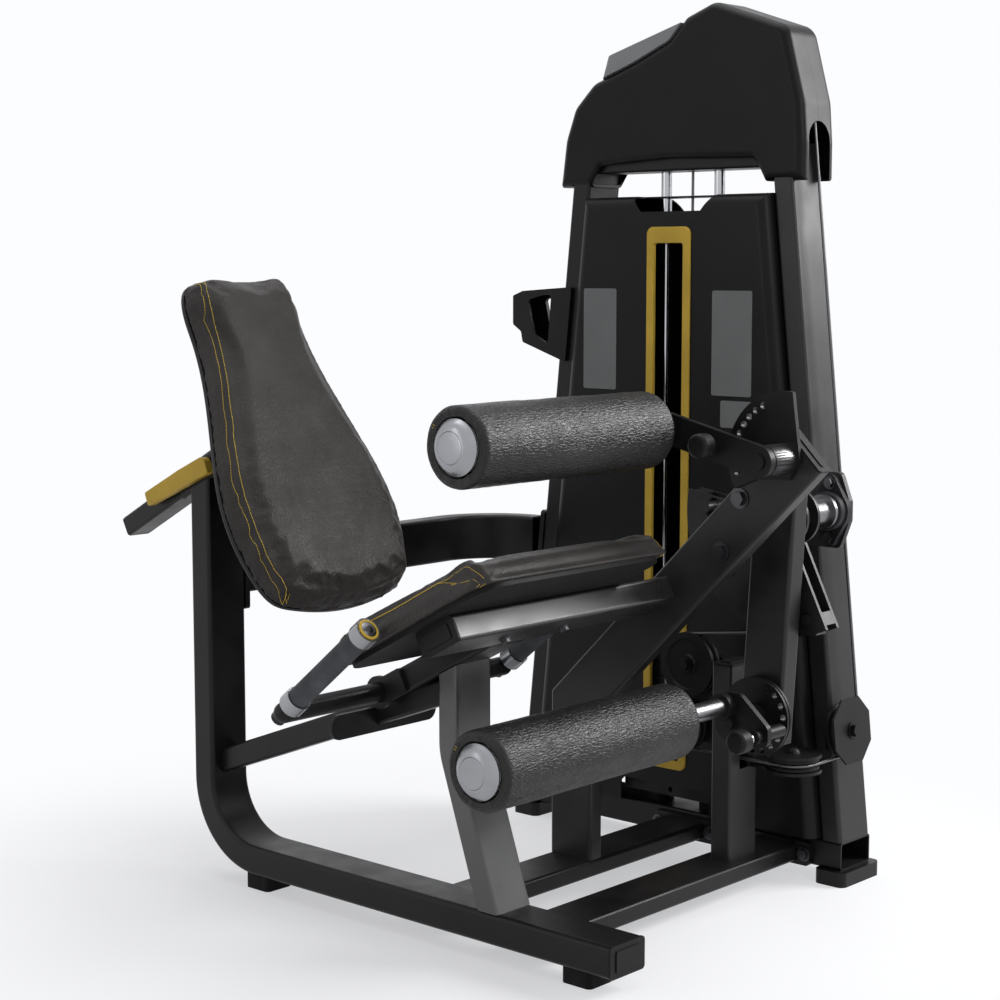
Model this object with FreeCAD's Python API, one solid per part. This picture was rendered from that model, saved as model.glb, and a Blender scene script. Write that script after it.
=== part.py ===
"""Leg extension machine: a seat with a leg roller on a swing arm, a cam that
draws a steel cable, and a weight stack in a shrouded tower.

Millimetres, +Z up. The user sits in the plane x = 0 and faces -Y; the tower
stands at the user's left, on the +X side. Everything is drawn in that frame and moved
at the end, so that the origin is the middle of the footprint, on the floor.
"""
import FreeCAD, Part

import math
import os

Vector = FreeCAD.Vector

# ---------------------------------------------------------------- general
RUN_GAP = 0.4            # between pieces that move against each other
TURN_GAP = 0.08          # between a pin and the bore it turns in
SEAT_GAP = 0.3           # between a bolted piece and what it sits on
TUBE_WALL = 3.0
CAP_STUB_CORNER = 9.0
CAP_LIP = 4.0            # visible thickness of a plastic tube cap
BOLT_HEAD_RADIUS = 9.5
BOLT_HEAD_HEIGHT = 7.0
CABLE_RADIUS = 2.6

# ---------------------------------------------------------------- main frame
MAIN_TUBE_WIDTH = 80.0   # across the user's plane
MAIN_TUBE_DEPTH = 50.0
MAIN_TUBE_CORNER = 8.0
FOOT_HEIGHT = 28.0
RUBBER_FOOT_SIZE = 56.0
RUBBER_FOOT_PLACES_Y = (24.0, 730.0)
FOOT_BEAM_FRONT_Y = -48.0
COLUMN_Y = 851.0
COLUMN_TOP_Z = 680.0
COLUMN_BEND_RADIUS = 125.0

FRONT_POST_DEPTH = 40.0
FRONT_POST_FOOT_Y = 181.5
FRONT_POST_Y = 271.0
FRONT_POST_KNEE_Z = 314.0
FRONT_POST_BEND = 90.0

STRUT_SIZE = 40.0
STRUT_SLOPE = 20.3       # degrees
STRUT_MID_Z_AT_COLUMN = 207.0
STRUT_PLATE_Y = 445.0    # rounded bar welded across the strut
STRUT_PLATE_LENGTH = 234.0

RAIL_WIDTH = 88.0
RAIL_THICKNESS = 30.0
RAIL_BOTTOM_Z = 30.0
FRONT_RAIL_Y = 129.0
REAR_RAIL_Y = 330.0
RAIL_FLANGE_THICKNESS = 10.0
RAIL_FLANGE_MARGIN = 24.0

BEAM_POST_X = 340.0
BEAM_POST_DEPTH = 88.0
BEAM_POST_WIDTH = 32.0
BEAM_MITRE_Z = 322.0     # on the post's centre line
BEAM_LENGTH = 640.0      # sloping part, on its centre line

SHORT_POST_X = 516.0
SHORT_POST_WIDTH = 80.0
SHORT_POST_DEPTH = 40.0
SHORT_POST_Y = 130.0
SHORT_POST_TOP_Z = 391.0

CROSS_BEAM_HEIGHT = 85.0
CROSS_BEAM_WIDTH = 40.0
CROSS_BEAM_Z = 534.0
CROSS_BEAM_BEND = 130.0
CROSS_BEAM_END_X = 690.0
CROSS_PLATE_THICKNESS = 10.0

# ---------------------------------------------------------------- tower
TOWER_X = 700.0
TOWER_Y = 366.0
UPRIGHT_WIDTH = 91.0
UPRIGHT_DEPTH = 40.0
UPRIGHT_TOP_Z = 1262.0
UPRIGHT_LEAN = 6.11      # degrees, towards each other
UPRIGHT_HALF_SPAN = 370.0  # outer faces from the tower's middle, at the floor
BASE_BEAM_BOTTOM = 25.0
BASE_BEAM_HEIGHT = 48.0
TOWER_FOOT_LENGTH = 118.0
TOWER_FOOT_WIDTH = 60.0
TOWER_FOOT_REACH = 14.0   # ahead of the upright
HEAD_BEAM_HEIGHT = 40.0

ROD_RADIUS = 9.5
ROD_SPACING = 117.0
BUMPER_RADIUS = 24.0
BUMPER_HEIGHT = 22.0

PLATE_DEPTH = 100.0      # along x
PLATE_WIDTH = 218.0      # along y
PLATE_THICKNESS = 23.0
PLATE_PITCH = 24.4
PLATE_COUNT = 11
PLATES_LIFTED = 4        # with the top plate, at rest position of the pin
STEM_RADIUS = 11.0
SELECTOR_RADIUS = 4.5

SHROUD_REACH = 68.0      # face from the tower's mid-plane
SHROUD_WALL = 3.0
SHROUD_CORNER = 22.0
SHROUD_BOTTOM_Z = 76.0
SHROUD_TOP_Z = 1178.0
SHROUD_FOOT_HALF_WIDTH = 100.0   # of the opening at the floor
SHROUD_FOOT_HEIGHT = 120.0
SHROUD_FOOT_CHAMFER = 8.0
SHROUD_NOTCH_HALF_WIDTH = 66.0   # of the opening round the guide rods
SHROUD_NOTCH_BOTTOM_Z = 1150.0
SHROUD_NOTCH_FLARE = 44.0        # over its height
SHROUD_NOTCH_HEIGHT = 50.0
CABLE_HOLE_RADIUS = 8.0          # in the shroud's roof
ROD_HOLE_RADIUS = ROD_RADIUS + 1.5
SLOT_WIDTH = 67.0
SLOT_BOTTOM_Z = 165.0
SLOT_TOP_Z = 1096.0
SLOT_FRAME_MARGIN = 14.0
SLOT_FRAME_CROWN = 13.0    # more margin over the slot
SLOT_FRAME_THICKNESS = 4.0

COWL_HALF_WIDTH = 50.0
COWL_WALL = 3.0
COWL_EDGE = 16.0
COWL_ARCH_RADIUS = 32.0   # of the opening through which the front cable comes down
COWL_ARCH_Z = 1266.0

# ---------------------------------------------------------------- working parts
KNEE_Y = 25.0
KNEE_Z = 647.0
KNEE_SHAFT_RADIUS = 21.0
BEARING_PLATE_REACH = 64.0   # above and below the knee axis
BEARING_PLATE_THICKNESS = 10.0
BEARING_DEPTH = 28.0
FLANGE_THICKNESS = 12.0
FLANGE_RADIUS = 36.0
FLANGE_EAR_RADIUS = 13.0
FLANGE_BOLT_REACH = 47.0     # of each bolt from the knee axis
FLANGE_BOLT_RADIUS = 5.0

ARM_X = 465.0
ARM_WIDTH = 40.0
ARM_DEPTH = 80.0
ARM_BOTTOM_Z = 288.0
ARM_TOP_Z = 690.0
ARM_LEAN = 3.4           # degrees, foot towards the seat

CABLE_X = 516.0          # plane of the cam, the big pulley and the lower pulley
CAM_RADIUS = 190.0       # of the cable's centre line on the rim
CAM_PLATE = 6.0
CAM_HALF_GAP = 13.0      # between the side plates, from the cable's plane
CAM_RIM_LIP = 5.0
CAM_FRONT_ANGLE = 17.0   # degrees ahead of straight down
CAM_REAR_ANGLE = 100.0   # degrees behind straight down
CAM_WEB = 22.0           # depth of the rim below the cable

CRANK_Y = 25.0
CRANK_Z = 330.0
CRANK_PLATE_X = 358.0    # near face
CRANK_PLATE_THICKNESS = 10.0
ANKLE_Y = 37.0
ANKLE_Z = 356.0
DISC_RADIUS = 64.0
DISC_THICKNESS = 12.0
DISC_HOLE_CIRCLE = 55.0
CRANK_PIN_ANGLE = 194.3  # degrees from +Y towards +Z

ROLLER_RADIUS = 60.0
ROLLER_NEAR_X = -226.0
ANKLE_ROLLER_FAR_X = 216.0
THIGH_ROLLER_FAR_X = 200.0
ROLLER_END_ROUNDING = 9.0
ROLLER_SHAFT_RADIUS = 15.0
ROLLER_CAP_RADIUS = 41.0
ROLLER_CAP_THICKNESS = 6.0
ROLLER_CAP_RECESS = 2.0    # from the pad's near end to the cap's face

THIGH_Y = 78.0
THIGH_Z = 805.0
THIGH_PIVOT_Y = -95.0
THIGH_PIVOT_Z = 763.0
THIGH_ARM_X = 250.0      # near face
THIGH_ARM_THICKNESS = 12.0
THIGH_ARM_WIDTH = 48.0
SECTOR_THICKNESS = 8.0
SECTOR_RADIUS = 103.0
SECTOR_HOLE_CIRCLE = 88.0
SECTOR_HOLE_STEP = 10.2  # degrees
SECTOR_HOLES_ABOVE = 5
PULL_PIN_RADIUS = 5.0
PIN_DRAWN_GAP = 0.5       # from a drawn pin's tip to the plate with its holes
PIN_PUSH = 10.0           # how far a drawn pin can be pushed in
PULL_KNOB_RADIUS = 19.0

# ---------------------------------------------------------------- seat and back
SEAT_TILT = 28.0         # the back rest leans by the same angle
CROSSBAR_Y = 156.0
CROSSBAR_Z = 525.0
CROSSBAR_WIDTH = 80.0
CROSSBAR_THICKNESS = 40.0
CROSSBAR_NEAR_X = -177.0
SEAT_HALF_WIDTH = 218.0
SEAT_BOARD_THICKNESS = 8.0
SEAT_PAD_THICKNESS = 42.0
SEAT_FRONT = 160.0       # ahead of the crossbar's middle
SEAT_REAR = 199.0
SEAT_CORNER = 42.0
SEAT_RAIL_REAR = 285.0

HANDLE_ALONG = 291.0     # the bar's place behind the crossbar, along the seat
HANDLE_BAR_RADIUS = 16.0
GRIP_BESIDE_SEAT = 27.0
GRIP_X = SEAT_HALF_WIDTH + GRIP_BESIDE_SEAT
GRIP_RADIUS = 17.0
GRIP_TILT = 39.0
GRIP_LENGTH = 228.0

BACK_POINT_Y = 642.0     # on the pad's front face
BACK_POINT_Z = 796.0
BACK_PAD_THICKNESS = 47.0
BACK_PAD_ROUNDING = 14.0
BACK_SHELL_THICKNESS = 11.0
BACK_SHELL_INSET = 1.5
SLIDE_ALONG = 23.0       # the slide tube's place up the pad
SLIDE_WIDTH = 50.0
SLIDE_HEIGHT = 35.0
SLIDE_REAR = 473.0       # behind the pad's front face
SLEEVE_MIDDLE = 231.0
SLEEVE_PAD_LENGTH = 76.0   # along the column's width
SLEEVE_LENGTH = 140.0
SLEEVE_WALL = 5.0
SLIDE_TRAVEL = 80.0       # of the back rest, each way
LEVER_THICKNESS = 14.0
LEVER_PIVOT_AHEAD = 20.0   # of the sleeve's middle
LEVER_PIN_RADIUS = 6.0
LEVER_SKIN = 3.0           # over the end of its pin
LEVER_RISE = 5.0           # degrees, from the slide tube to the lever's grip
# Side view of the lever from its pivot: (back, up) and the radius of the corner.
LEVER_OUTLINE = (((-14, -17), 5), ((-14, 15), 12), ((60, 14), 40), ((162, 8), 5), ((162, -17), 4))

# ---------------------------------------------------------------- pulleys
PULLEY_GROOVE = 4.0      # depth of the groove below the rim
BIG_PULLEY_RADIUS = 55.0
SMALL_PULLEY_RADIUS = 43.0
TOP_PULLEY_RADIUS = 52.0
PULLEY_WIDTH = 23.0
AXLE_RADIUS = 8.0
BIG_PULLEY_Y = 224.0
BIG_PULLEY_Z = 378.0
LYING_PULLEY_Z = 230.0   # the cable's height from tower to post
FRONT_PULLEY_OFFSET = 23.0  # cable's plane ahead of the upright
TOP_PULLEY_Z = UPRIGHT_TOP_Z + 60.0


# ---------------------------------------------------------------- helpers
def box(x, y, z):
    """A box from three (low, high) pairs."""
    shape = Part.makeBox(x[1] - x[0], y[1] - y[0], z[1] - z[0])
    shape.translate(Vector(x[0], y[0], z[0]))
    return shape


def rod(start, end, radius):
    """A round bar between two points."""
    axis = Vector(*end) - Vector(*start)
    return Part.makeCylinder(radius, axis.Length, Vector(*start), axis)


def rod_x(x0, x1, y, z, radius):
    return rod((x0, y, z), (x1, y, z), radius)


def prism_x(x0, x1, points):
    """A plate lying in a plane of constant x, from its (y, z) corners."""
    corners = [Vector(x0, y, z) for y, z in points]
    face = Part.Face(Part.makePolygon(corners + corners[:1]))
    return face.extrude(Vector(x1 - x0, 0, 0))


def fuse(shapes):
    whole = shapes[0]
    for shape in shapes[1:]:
        whole = whole.fuse(shape)
    return whole.removeSplitter()


def fillet_where(shape, radius, test):
    """Round the edges whose middle point and direction pass the test."""
    edges = []
    for edge in shape.Edges:
        middle = edge.valueAt((edge.FirstParameter + edge.LastParameter) / 2)
        if test(edge, middle):
            edges.append(edge)
    return shape.makeFillet(radius, edges)


def along(edge, axis):
    """True for a straight edge along the axis."""
    if edge.Curve.TypeId != "Part::GeomLine":
        return False
    return abs(edge.Curve.Direction.dot(axis)) > 0.999


def rounded_rectangle(centre, side_axis, up_axis, width, height, corner):
    """A closed wire with round corners about a centre point."""
    a = side_axis * (width / 2)
    b = up_axis * (height / 2)
    u = side_axis * corner
    v = up_axis * corner
    bend = 1 - math.sqrt(0.5)
    edges = []
    for p, q in ((1, 1), (-1, 1), (-1, -1), (1, -1)):
        tip = centre + a * p + b * q
        side = tip - v * q
        top = tip - u * p
        middle = tip - (u * p + v * q) * bend
        first, last = (side, top) if p * q > 0 else (top, side)
        edges.append(Part.Arc(first, middle, last).toShape())
    links = []
    for index, edge in enumerate(edges):
        start = edge.Vertexes[-1].Point
        end = edges[(index + 1) % 4].Vertexes[0].Point
        links.append(edge)
        links.append(Part.LineSegment(start, end).toShape())
    return Part.Wire(links)


def tube_face(centre, side_axis, up_axis, width, height, corner, wall=TUBE_WALL):
    outer = rounded_rectangle(centre, side_axis, up_axis, width, height, corner)
    inner = rounded_rectangle(centre, side_axis, up_axis, width - 2 * wall,
                              height - 2 * wall, max(corner - wall, 1.0))
    return Part.Face(outer).cut(Part.Face(inner)).Faces[0]


def solid_face(centre, side_axis, up_axis, width, height, corner):
    return Part.Face(rounded_rectangle(centre, side_axis, up_axis, width, height, corner))


def bent_tube(points, bend, normal, width, depth, corner, wall=TUBE_WALL):
    """A rectangular tube bent in the plane with the given normal.

    width is measured along the normal and depth in the plane of the bends.
    """
    points = [Vector(*p) for p in points]
    normal = Vector(*normal)
    pieces = []
    start = points[0]
    for index in range(len(points) - 1):
        heading = (points[index + 1] - points[index]).normalize()
        end = points[index + 1]
        across = heading.cross(normal)
        if index < len(points) - 2:
            after = (points[index + 2] - points[index + 1]).normalize()
            turn = heading.getAngle(after)
            end = end - heading * (bend * math.tan(turn / 2))
        face = tube_face(start, normal, across, width, depth, corner, wall)
        pieces.append(face.extrude(end - start))
        if index < len(points) - 2:
            side = 1 if heading.cross(after).dot(normal) > 0 else -1
            centre = end - across * (bend * side)
            face = tube_face(end, normal, across, width, depth, corner, wall)
            axis = normal * side
            pieces.append(face.revolve(centre, axis, math.degrees(turn)))
            start = points[index + 1] + after * (bend * math.tan(turn / 2))
    return fuse(pieces)


def tube(start, end, side_axis, width, depth, corner=6.0, wall=TUBE_WALL):
    return bent_tube([start, end], 0.0, side_axis, width, depth, corner, wall)


def hex_bolt(point, axis, radius=BOLT_HEAD_RADIUS, height=BOLT_HEAD_HEIGHT):
    """A hexagon head on a washer, standing on its seat."""
    axis = Vector(*axis)
    point = Vector(*point)
    washer = Part.makeCylinder(radius * 1.35, 2.0, point, axis)
    helper = Vector(0, 0, 1) if abs(axis.z) < 0.9 else Vector(1, 0, 0)
    u = axis.cross(helper).normalize()
    v = axis.cross(u)
    foot = point + axis * 2.0
    corners = []
    for k in range(6):
        angle = math.radians(60 * k)
        corners.append(foot + u * (radius * math.cos(angle)) + v * (radius * math.sin(angle)))
    head = Part.Face(Part.makePolygon(corners + corners[:1])).extrude(axis * height)
    return washer.fuse(head).removeSplitter()


def polar(y, z, radius, angle):
    """A (y, z) point at an angle in degrees from +Y towards +Z."""
    turn = math.radians(angle)
    return (y + radius * math.cos(turn), z + radius * math.sin(turn))


# Directions along the leaning seat and back rest. The seat runs down to the
# rear by SEAT_TILT, and the back rest stands square to it.
TILT = math.radians(SEAT_TILT)
SEAT_BACKWARD = Vector(0, math.cos(TILT), -math.sin(TILT))
SEAT_UPWARD = Vector(0, math.sin(TILT), math.cos(TILT))
X_AXIS = Vector(1, 0, 0)
Z_AXIS = Vector(0, 0, 1)


def on_seat(x, back, up):
    """A point measured from the crossbar's middle, along the seat's own axes."""
    return Vector(x, CROSSBAR_Y, CROSSBAR_Z) + SEAT_BACKWARD * back + SEAT_UPWARD * up


def on_back(x, up, front):
    """A point measured from a point of the back pad's front face."""
    return Vector(x, BACK_POINT_Y, BACK_POINT_Z) + SEAT_UPWARD * up - SEAT_BACKWARD * front


def upright_face_y(z):
    """The front upright's outer face at a height."""
    return TOWER_Y - UPRIGHT_HALF_SPAN + z * math.tan(math.radians(UPRIGHT_LEAN))


NODES = {}


def piece(name, shape):
    NODES[name] = shape


# ---------------------------------------------------------------- main frame
BEAM_Z = FOOT_HEIGHT + MAIN_TUBE_DEPTH / 2
RAIL_Z = RAIL_BOTTOM_Z + RAIL_THICKNESS / 2
RAIL_TOP_Z = RAIL_BOTTOM_Z + RAIL_THICKNESS
COLUMN_FRONT_Y = COLUMN_Y - MAIN_TUBE_DEPTH / 2
STRUT_SLOPE_RAD = math.radians(STRUT_SLOPE)


def main_frame_tube():
    path = [(0, FOOT_BEAM_FRONT_Y, BEAM_Z), (0, COLUMN_Y, BEAM_Z), (0, COLUMN_Y, COLUMN_TOP_Z + 60)]
    shape = bent_tube(path, COLUMN_BEND_RADIUS, (1, 0, 0), MAIN_TUBE_WIDTH,
                      MAIN_TUBE_DEPTH, MAIN_TUBE_CORNER)
    return shape.cut(above_sleeve())


def above_sleeve():
    """Everything above the underside of the sleeve that the column carries."""
    low = SLIDE_ALONG - SLIDE_HEIGHT / 2 - SLEEVE_WALL - RUN_GAP
    half = SLEEVE_LENGTH
    corners = []
    for up, front in ((low, -SLEEVE_MIDDLE - half), (low, -SLEEVE_MIDDLE + half),
                      (low + 200, -SLEEVE_MIDDLE + half), (low + 200, -SLEEVE_MIDDLE - half)):
        p = on_back(0, up, front)
        corners.append((p.y, p.z))
    return prism_x(-100, 100, corners)


def rubber_feet():
    feet = []
    half = RUBBER_FOOT_SIZE / 2
    for y in RUBBER_FOOT_PLACES_Y:
        foot = box((-half, half), (y - half, y + half), (0, FOOT_HEIGHT))
        feet.append(fillet_where(foot, 8, lambda e, m: along(e, Z_AXIS)))
    return Part.makeCompound(feet)


def strut_mid_z(y):
    return STRUT_MID_Z_AT_COLUMN + (COLUMN_FRONT_Y - y) * math.tan(STRUT_SLOPE_RAD)


def front_post():
    seat_underside = on_seat(0, 0, -CROSSBAR_THICKNESS / 2)
    top = seat_underside.z - (FRONT_POST_Y - seat_underside.y) * math.tan(TILT)
    path = [(0, FRONT_POST_FOOT_Y, BEAM_Z), (0, FRONT_POST_Y, FRONT_POST_KNEE_Z),
            (0, FRONT_POST_Y, top + 40)]
    shape = bent_tube(path, FRONT_POST_BEND, (1, 0, 0), MAIN_TUBE_WIDTH,
                      FRONT_POST_DEPTH, 6.0)
    below = box((-60, 60), (0, 400), (0, FOOT_HEIGHT + MAIN_TUBE_DEPTH))
    slope = math.tan(TILT)
    above = prism_x(-60, 60, [(0, top + FRONT_POST_Y * slope),
                              (600, top + (FRONT_POST_Y - 600) * slope), (600, 900), (0, 900)])
    return shape.cut(below).cut(above)


def seat_strut():
    start = (0, COLUMN_FRONT_Y + 30, strut_mid_z(COLUMN_FRONT_Y + 30))
    rear_of_post = FRONT_POST_Y + FRONT_POST_DEPTH / 2
    end = (0, rear_of_post - 30, strut_mid_z(rear_of_post - 30))
    shape = tube(start, end, (1, 0, 0), STRUT_SIZE, STRUT_SIZE)
    shape = shape.common(box((-60, 60), (rear_of_post, COLUMN_FRONT_Y), (0, 900)))
    plate_middle = Vector(0, STRUT_PLATE_Y, strut_mid_z(STRUT_PLATE_Y) - 12)
    plate = solid_face(plate_middle, X_AXIS, Z_AXIS, STRUT_PLATE_LENGTH, 40, 18)
    shape = fuse([shape, plate.extrude(Vector(0, 8, 0))])
    return shape.cut(seat_rail_room())


def seat_rail_room():
    """The space of the seat rail and the handle bar, with a seat gap round it."""
    start = on_seat(0, CROSSBAR_WIDTH / 2, 0)
    room = solid_face(start, X_AXIS, SEAT_UPWARD, MAIN_TUBE_WIDTH + 2 * SEAT_GAP,
                      CROSSBAR_THICKNESS + 2 * SEAT_GAP, 6)
    room = room.extrude(SEAT_BACKWARD * (SEAT_RAIL_REAR - CROSSBAR_WIDTH / 2 + SEAT_GAP))
    bar = on_seat(0, HANDLE_ALONG, 0)
    return room.fuse(rod_x(-60, 60, bar.y, bar.z, HANDLE_BAR_RADIUS + SEAT_GAP))


def seat_crossbar():
    end_x = BEAM_POST_X - BEAM_POST_WIDTH / 2
    start = on_seat(CROSSBAR_NEAR_X, 0, 0)
    return tube(tuple(start), (end_x, start.y, start.z), tuple(SEAT_UPWARD),
                CROSSBAR_THICKNESS, CROSSBAR_WIDTH)


def seat_rail():
    """Carries the seat's rear half and the handle bar."""
    start = on_seat(0, CROSSBAR_WIDTH / 2, 0)
    end = on_seat(0, SEAT_RAIL_REAR, 0)
    rail = tube(tuple(start), tuple(end), (1, 0, 0), MAIN_TUBE_WIDTH, CROSSBAR_THICKNESS)
    eye_half = HANDLE_BAR_RADIUS + 10
    plates = []
    for side in (-1, 1):
        x = side * MAIN_TUBE_WIDTH / 2
        centre = on_seat(x, HANDLE_ALONG, 0)
        eye = rod(tuple(centre), (x + side * 8, centre.y, centre.z), eye_half)
        plates.append(eye)
        link = solid_face(on_seat(x, HANDLE_ALONG - 30, 0), SEAT_BACKWARD, SEAT_UPWARD,
                          60, CROSSBAR_THICKNESS - 2, 3)
        plates.append(link.extrude(Vector(side * 8, 0, 0)))
    centre = on_seat(0, HANDLE_ALONG, 0)
    bore = rod_x(-100, 100, centre.y, centre.z, HANDLE_BAR_RADIUS + SEAT_GAP)
    return fuse([rail] + plates).cut(bore)


def base_rail(y):
    """A flat tube from the foot beam to a bolted flange on the tower base."""
    flange_face = TOWER_X - UPRIGHT_WIDTH / 2
    start_x = MAIN_TUBE_WIDTH / 2
    end_x = flange_face - RAIL_FLANGE_THICKNESS
    rail = tube((start_x, y, RAIL_Z), (end_x, y, RAIL_Z), (0, 1, 0), RAIL_WIDTH, RAIL_THICKNESS)
    half = RAIL_WIDTH / 2 + RAIL_FLANGE_MARGIN
    centre = Vector(end_x, y, RAIL_Z)
    flange = solid_face(centre, Vector(0, 1, 0), Z_AXIS, 2 * half, RAIL_THICKNESS + 12, 8)
    flange = flange.extrude(Vector(RAIL_FLANGE_THICKNESS, 0, 0))
    return fuse([rail, flange])


def base_rails():
    return Part.makeCompound([base_rail(FRONT_RAIL_Y), base_rail(REAR_RAIL_Y)])


def mitred_profile(offset):
    """Outline of the beam post in the y-z plane, moved inwards by offset."""
    half = BEAM_POST_DEPTH / 2 - offset
    shift = half * math.tan(math.radians(22.5))
    knee = (REAR_RAIL_Y, BEAM_MITRE_Z)
    run = BEAM_LENGTH
    diagonal = math.sqrt(0.5)
    tip = (knee[0] - run * diagonal, knee[1] + run * diagonal)
    return [(knee[0] - half, RAIL_TOP_Z), (knee[0] + half, RAIL_TOP_Z),
            (knee[0] + half, knee[1] + shift),
            (tip[0] + half * diagonal, tip[1] + half * diagonal),
            (tip[0] - half * diagonal, tip[1] - half * diagonal),
            (knee[0] - half, knee[1] - shift)]


def beam_post():
    x0 = BEAM_POST_X - BEAM_POST_WIDTH / 2
    x1 = BEAM_POST_X + BEAM_POST_WIDTH / 2
    outer = prism_x(x0, x1, mitred_profile(0))
    sides = []
    for edge in outer.Edges:
        flat = edge.BoundBox.XLength < 0.1
        steep = edge.BoundBox.ZLength > 100
        if flat and steep:
            sides.append(edge)
    outer = outer.makeFillet(6, sides)
    inner = prism_x(x0 + TUBE_WALL, x1 - TUBE_WALL, mitred_profile(TUBE_WALL))
    return outer.cut(inner)


def short_post():
    start = (SHORT_POST_X, SHORT_POST_Y, RAIL_TOP_Z)
    end = (SHORT_POST_X, SHORT_POST_Y, SHORT_POST_TOP_Z)
    shape = tube(start, end, (1, 0, 0), SHORT_POST_WIDTH, SHORT_POST_DEPTH)
    slot = box((CABLE_X - 12, CABLE_X + 12), (SHORT_POST_Y - 40, SHORT_POST_Y + 40),
               (LYING_PULLEY_Z - 16, LYING_PULLEY_Z + 16))
    return shape.cut(slot)


def cross_beam():
    rear_face = 2 * TOWER_Y - upright_face_y(CROSS_BEAM_Z)
    path = [(MAIN_TUBE_WIDTH / 2 + CROSS_PLATE_THICKNESS / 2, COLUMN_Y, CROSS_BEAM_Z),
            (CROSS_BEAM_END_X, COLUMN_Y, CROSS_BEAM_Z),
            (CROSS_BEAM_END_X, rear_face + 40, CROSS_BEAM_Z)]
    beam = bent_tube(path, CROSS_BEAM_BEND, (0, 0, 1), CROSS_BEAM_HEIGHT, CROSS_BEAM_WIDTH, 6)
    column_plate = solid_face(Vector(MAIN_TUBE_WIDTH / 2, COLUMN_Y, CROSS_BEAM_Z),
                              Vector(0, 1, 0), Z_AXIS, MAIN_TUBE_DEPTH, CROSS_BEAM_HEIGHT + 56, 6)
    column_plate = column_plate.extrude(Vector(CROSS_PLATE_THICKNESS, 0, 0))
    beam = beam.cut(ahead_of_cross_plate())
    return fuse([beam, column_plate, cross_plate()])


def ahead_of_cross_plate():
    """Everything ahead of the middle of the cross beam's tower plate."""
    return lean_rear(box((400, 1000), (-600, CROSS_PLATE_THICKNESS / 2), (-400, 1600)))


def lean_rear(shape):
    """Carry a shape drawn on y = 0 to the rear upright's outer face."""
    shape = shape.copy()
    shape.rotate(Vector(0, 0, 0), X_AXIS, UPRIGHT_LEAN)
    shape.translate(Vector(0, TOWER_Y + UPRIGHT_HALF_SPAN, 0))
    return shape


def lean_front(shape):
    """Carry a shape drawn ahead of y = 0 to the front upright's outer face."""
    shape = shape.copy()
    shape.rotate(Vector(0, 0, 0), X_AXIS, -UPRIGHT_LEAN)
    shape.translate(Vector(0, TOWER_Y - UPRIGHT_HALF_SPAN, 0))
    return shape


def cross_plate():
    face = solid_face(Vector(TOWER_X, 0, CROSS_BEAM_Z), X_AXIS, Z_AXIS, UPRIGHT_WIDTH,
                      CROSS_BEAM_HEIGHT + 40, 6)
    return lean_rear(face.extrude(Vector(0, CROSS_PLATE_THICKNESS, 0)))


# ---------------------------------------------------------------- tower
UPRIGHT_NEAR_X = TOWER_X - UPRIGHT_WIDTH / 2
BASE_BEAM_TOP = BASE_BEAM_BOTTOM + BASE_BEAM_HEIGHT


def upright_front():
    start = (TOWER_X, UPRIGHT_DEPTH / 2, -60)
    end = (TOWER_X, UPRIGHT_DEPTH / 2, UPRIGHT_TOP_Z + 60)
    shape = tube(start, end, (1, 0, 0), UPRIGHT_WIDTH, UPRIGHT_DEPTH, 7)
    shape = lean_front(shape)
    return shape.common(box((0, 1000), (-100, 900), (BASE_BEAM_TOP, UPRIGHT_TOP_Z)))


def mirror_y(shape):
    return shape.mirror(Vector(0, TOWER_Y, 0), Vector(0, 1, 0))


def mirror_x(shape):
    return shape.mirror(Vector(TOWER_X, 0, 0), X_AXIS)


def tower_base():
    """Base beam along the tower with a flared foot block at each end."""
    front = upright_face_y(BASE_BEAM_TOP)
    rear = 2 * TOWER_Y - front
    beam_z = BASE_BEAM_BOTTOM + BASE_BEAM_HEIGHT / 2
    beam = tube((TOWER_X, front, beam_z), (TOWER_X, rear, beam_z), (1, 0, 0),
                UPRIGHT_WIDTH, BASE_BEAM_HEIGHT, 5)
    foot = box((TOWER_X - TOWER_FOOT_LENGTH / 2, TOWER_X + TOWER_FOOT_LENGTH / 2),
               (front - TOWER_FOOT_REACH, front - TOWER_FOOT_REACH + TOWER_FOOT_WIDTH), (0, BASE_BEAM_BOTTOM))
    foot = fillet_where(foot, 12, lambda e, m: along(e, Z_AXIS))
    return fuse([beam, foot, mirror_y(foot)])


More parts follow.
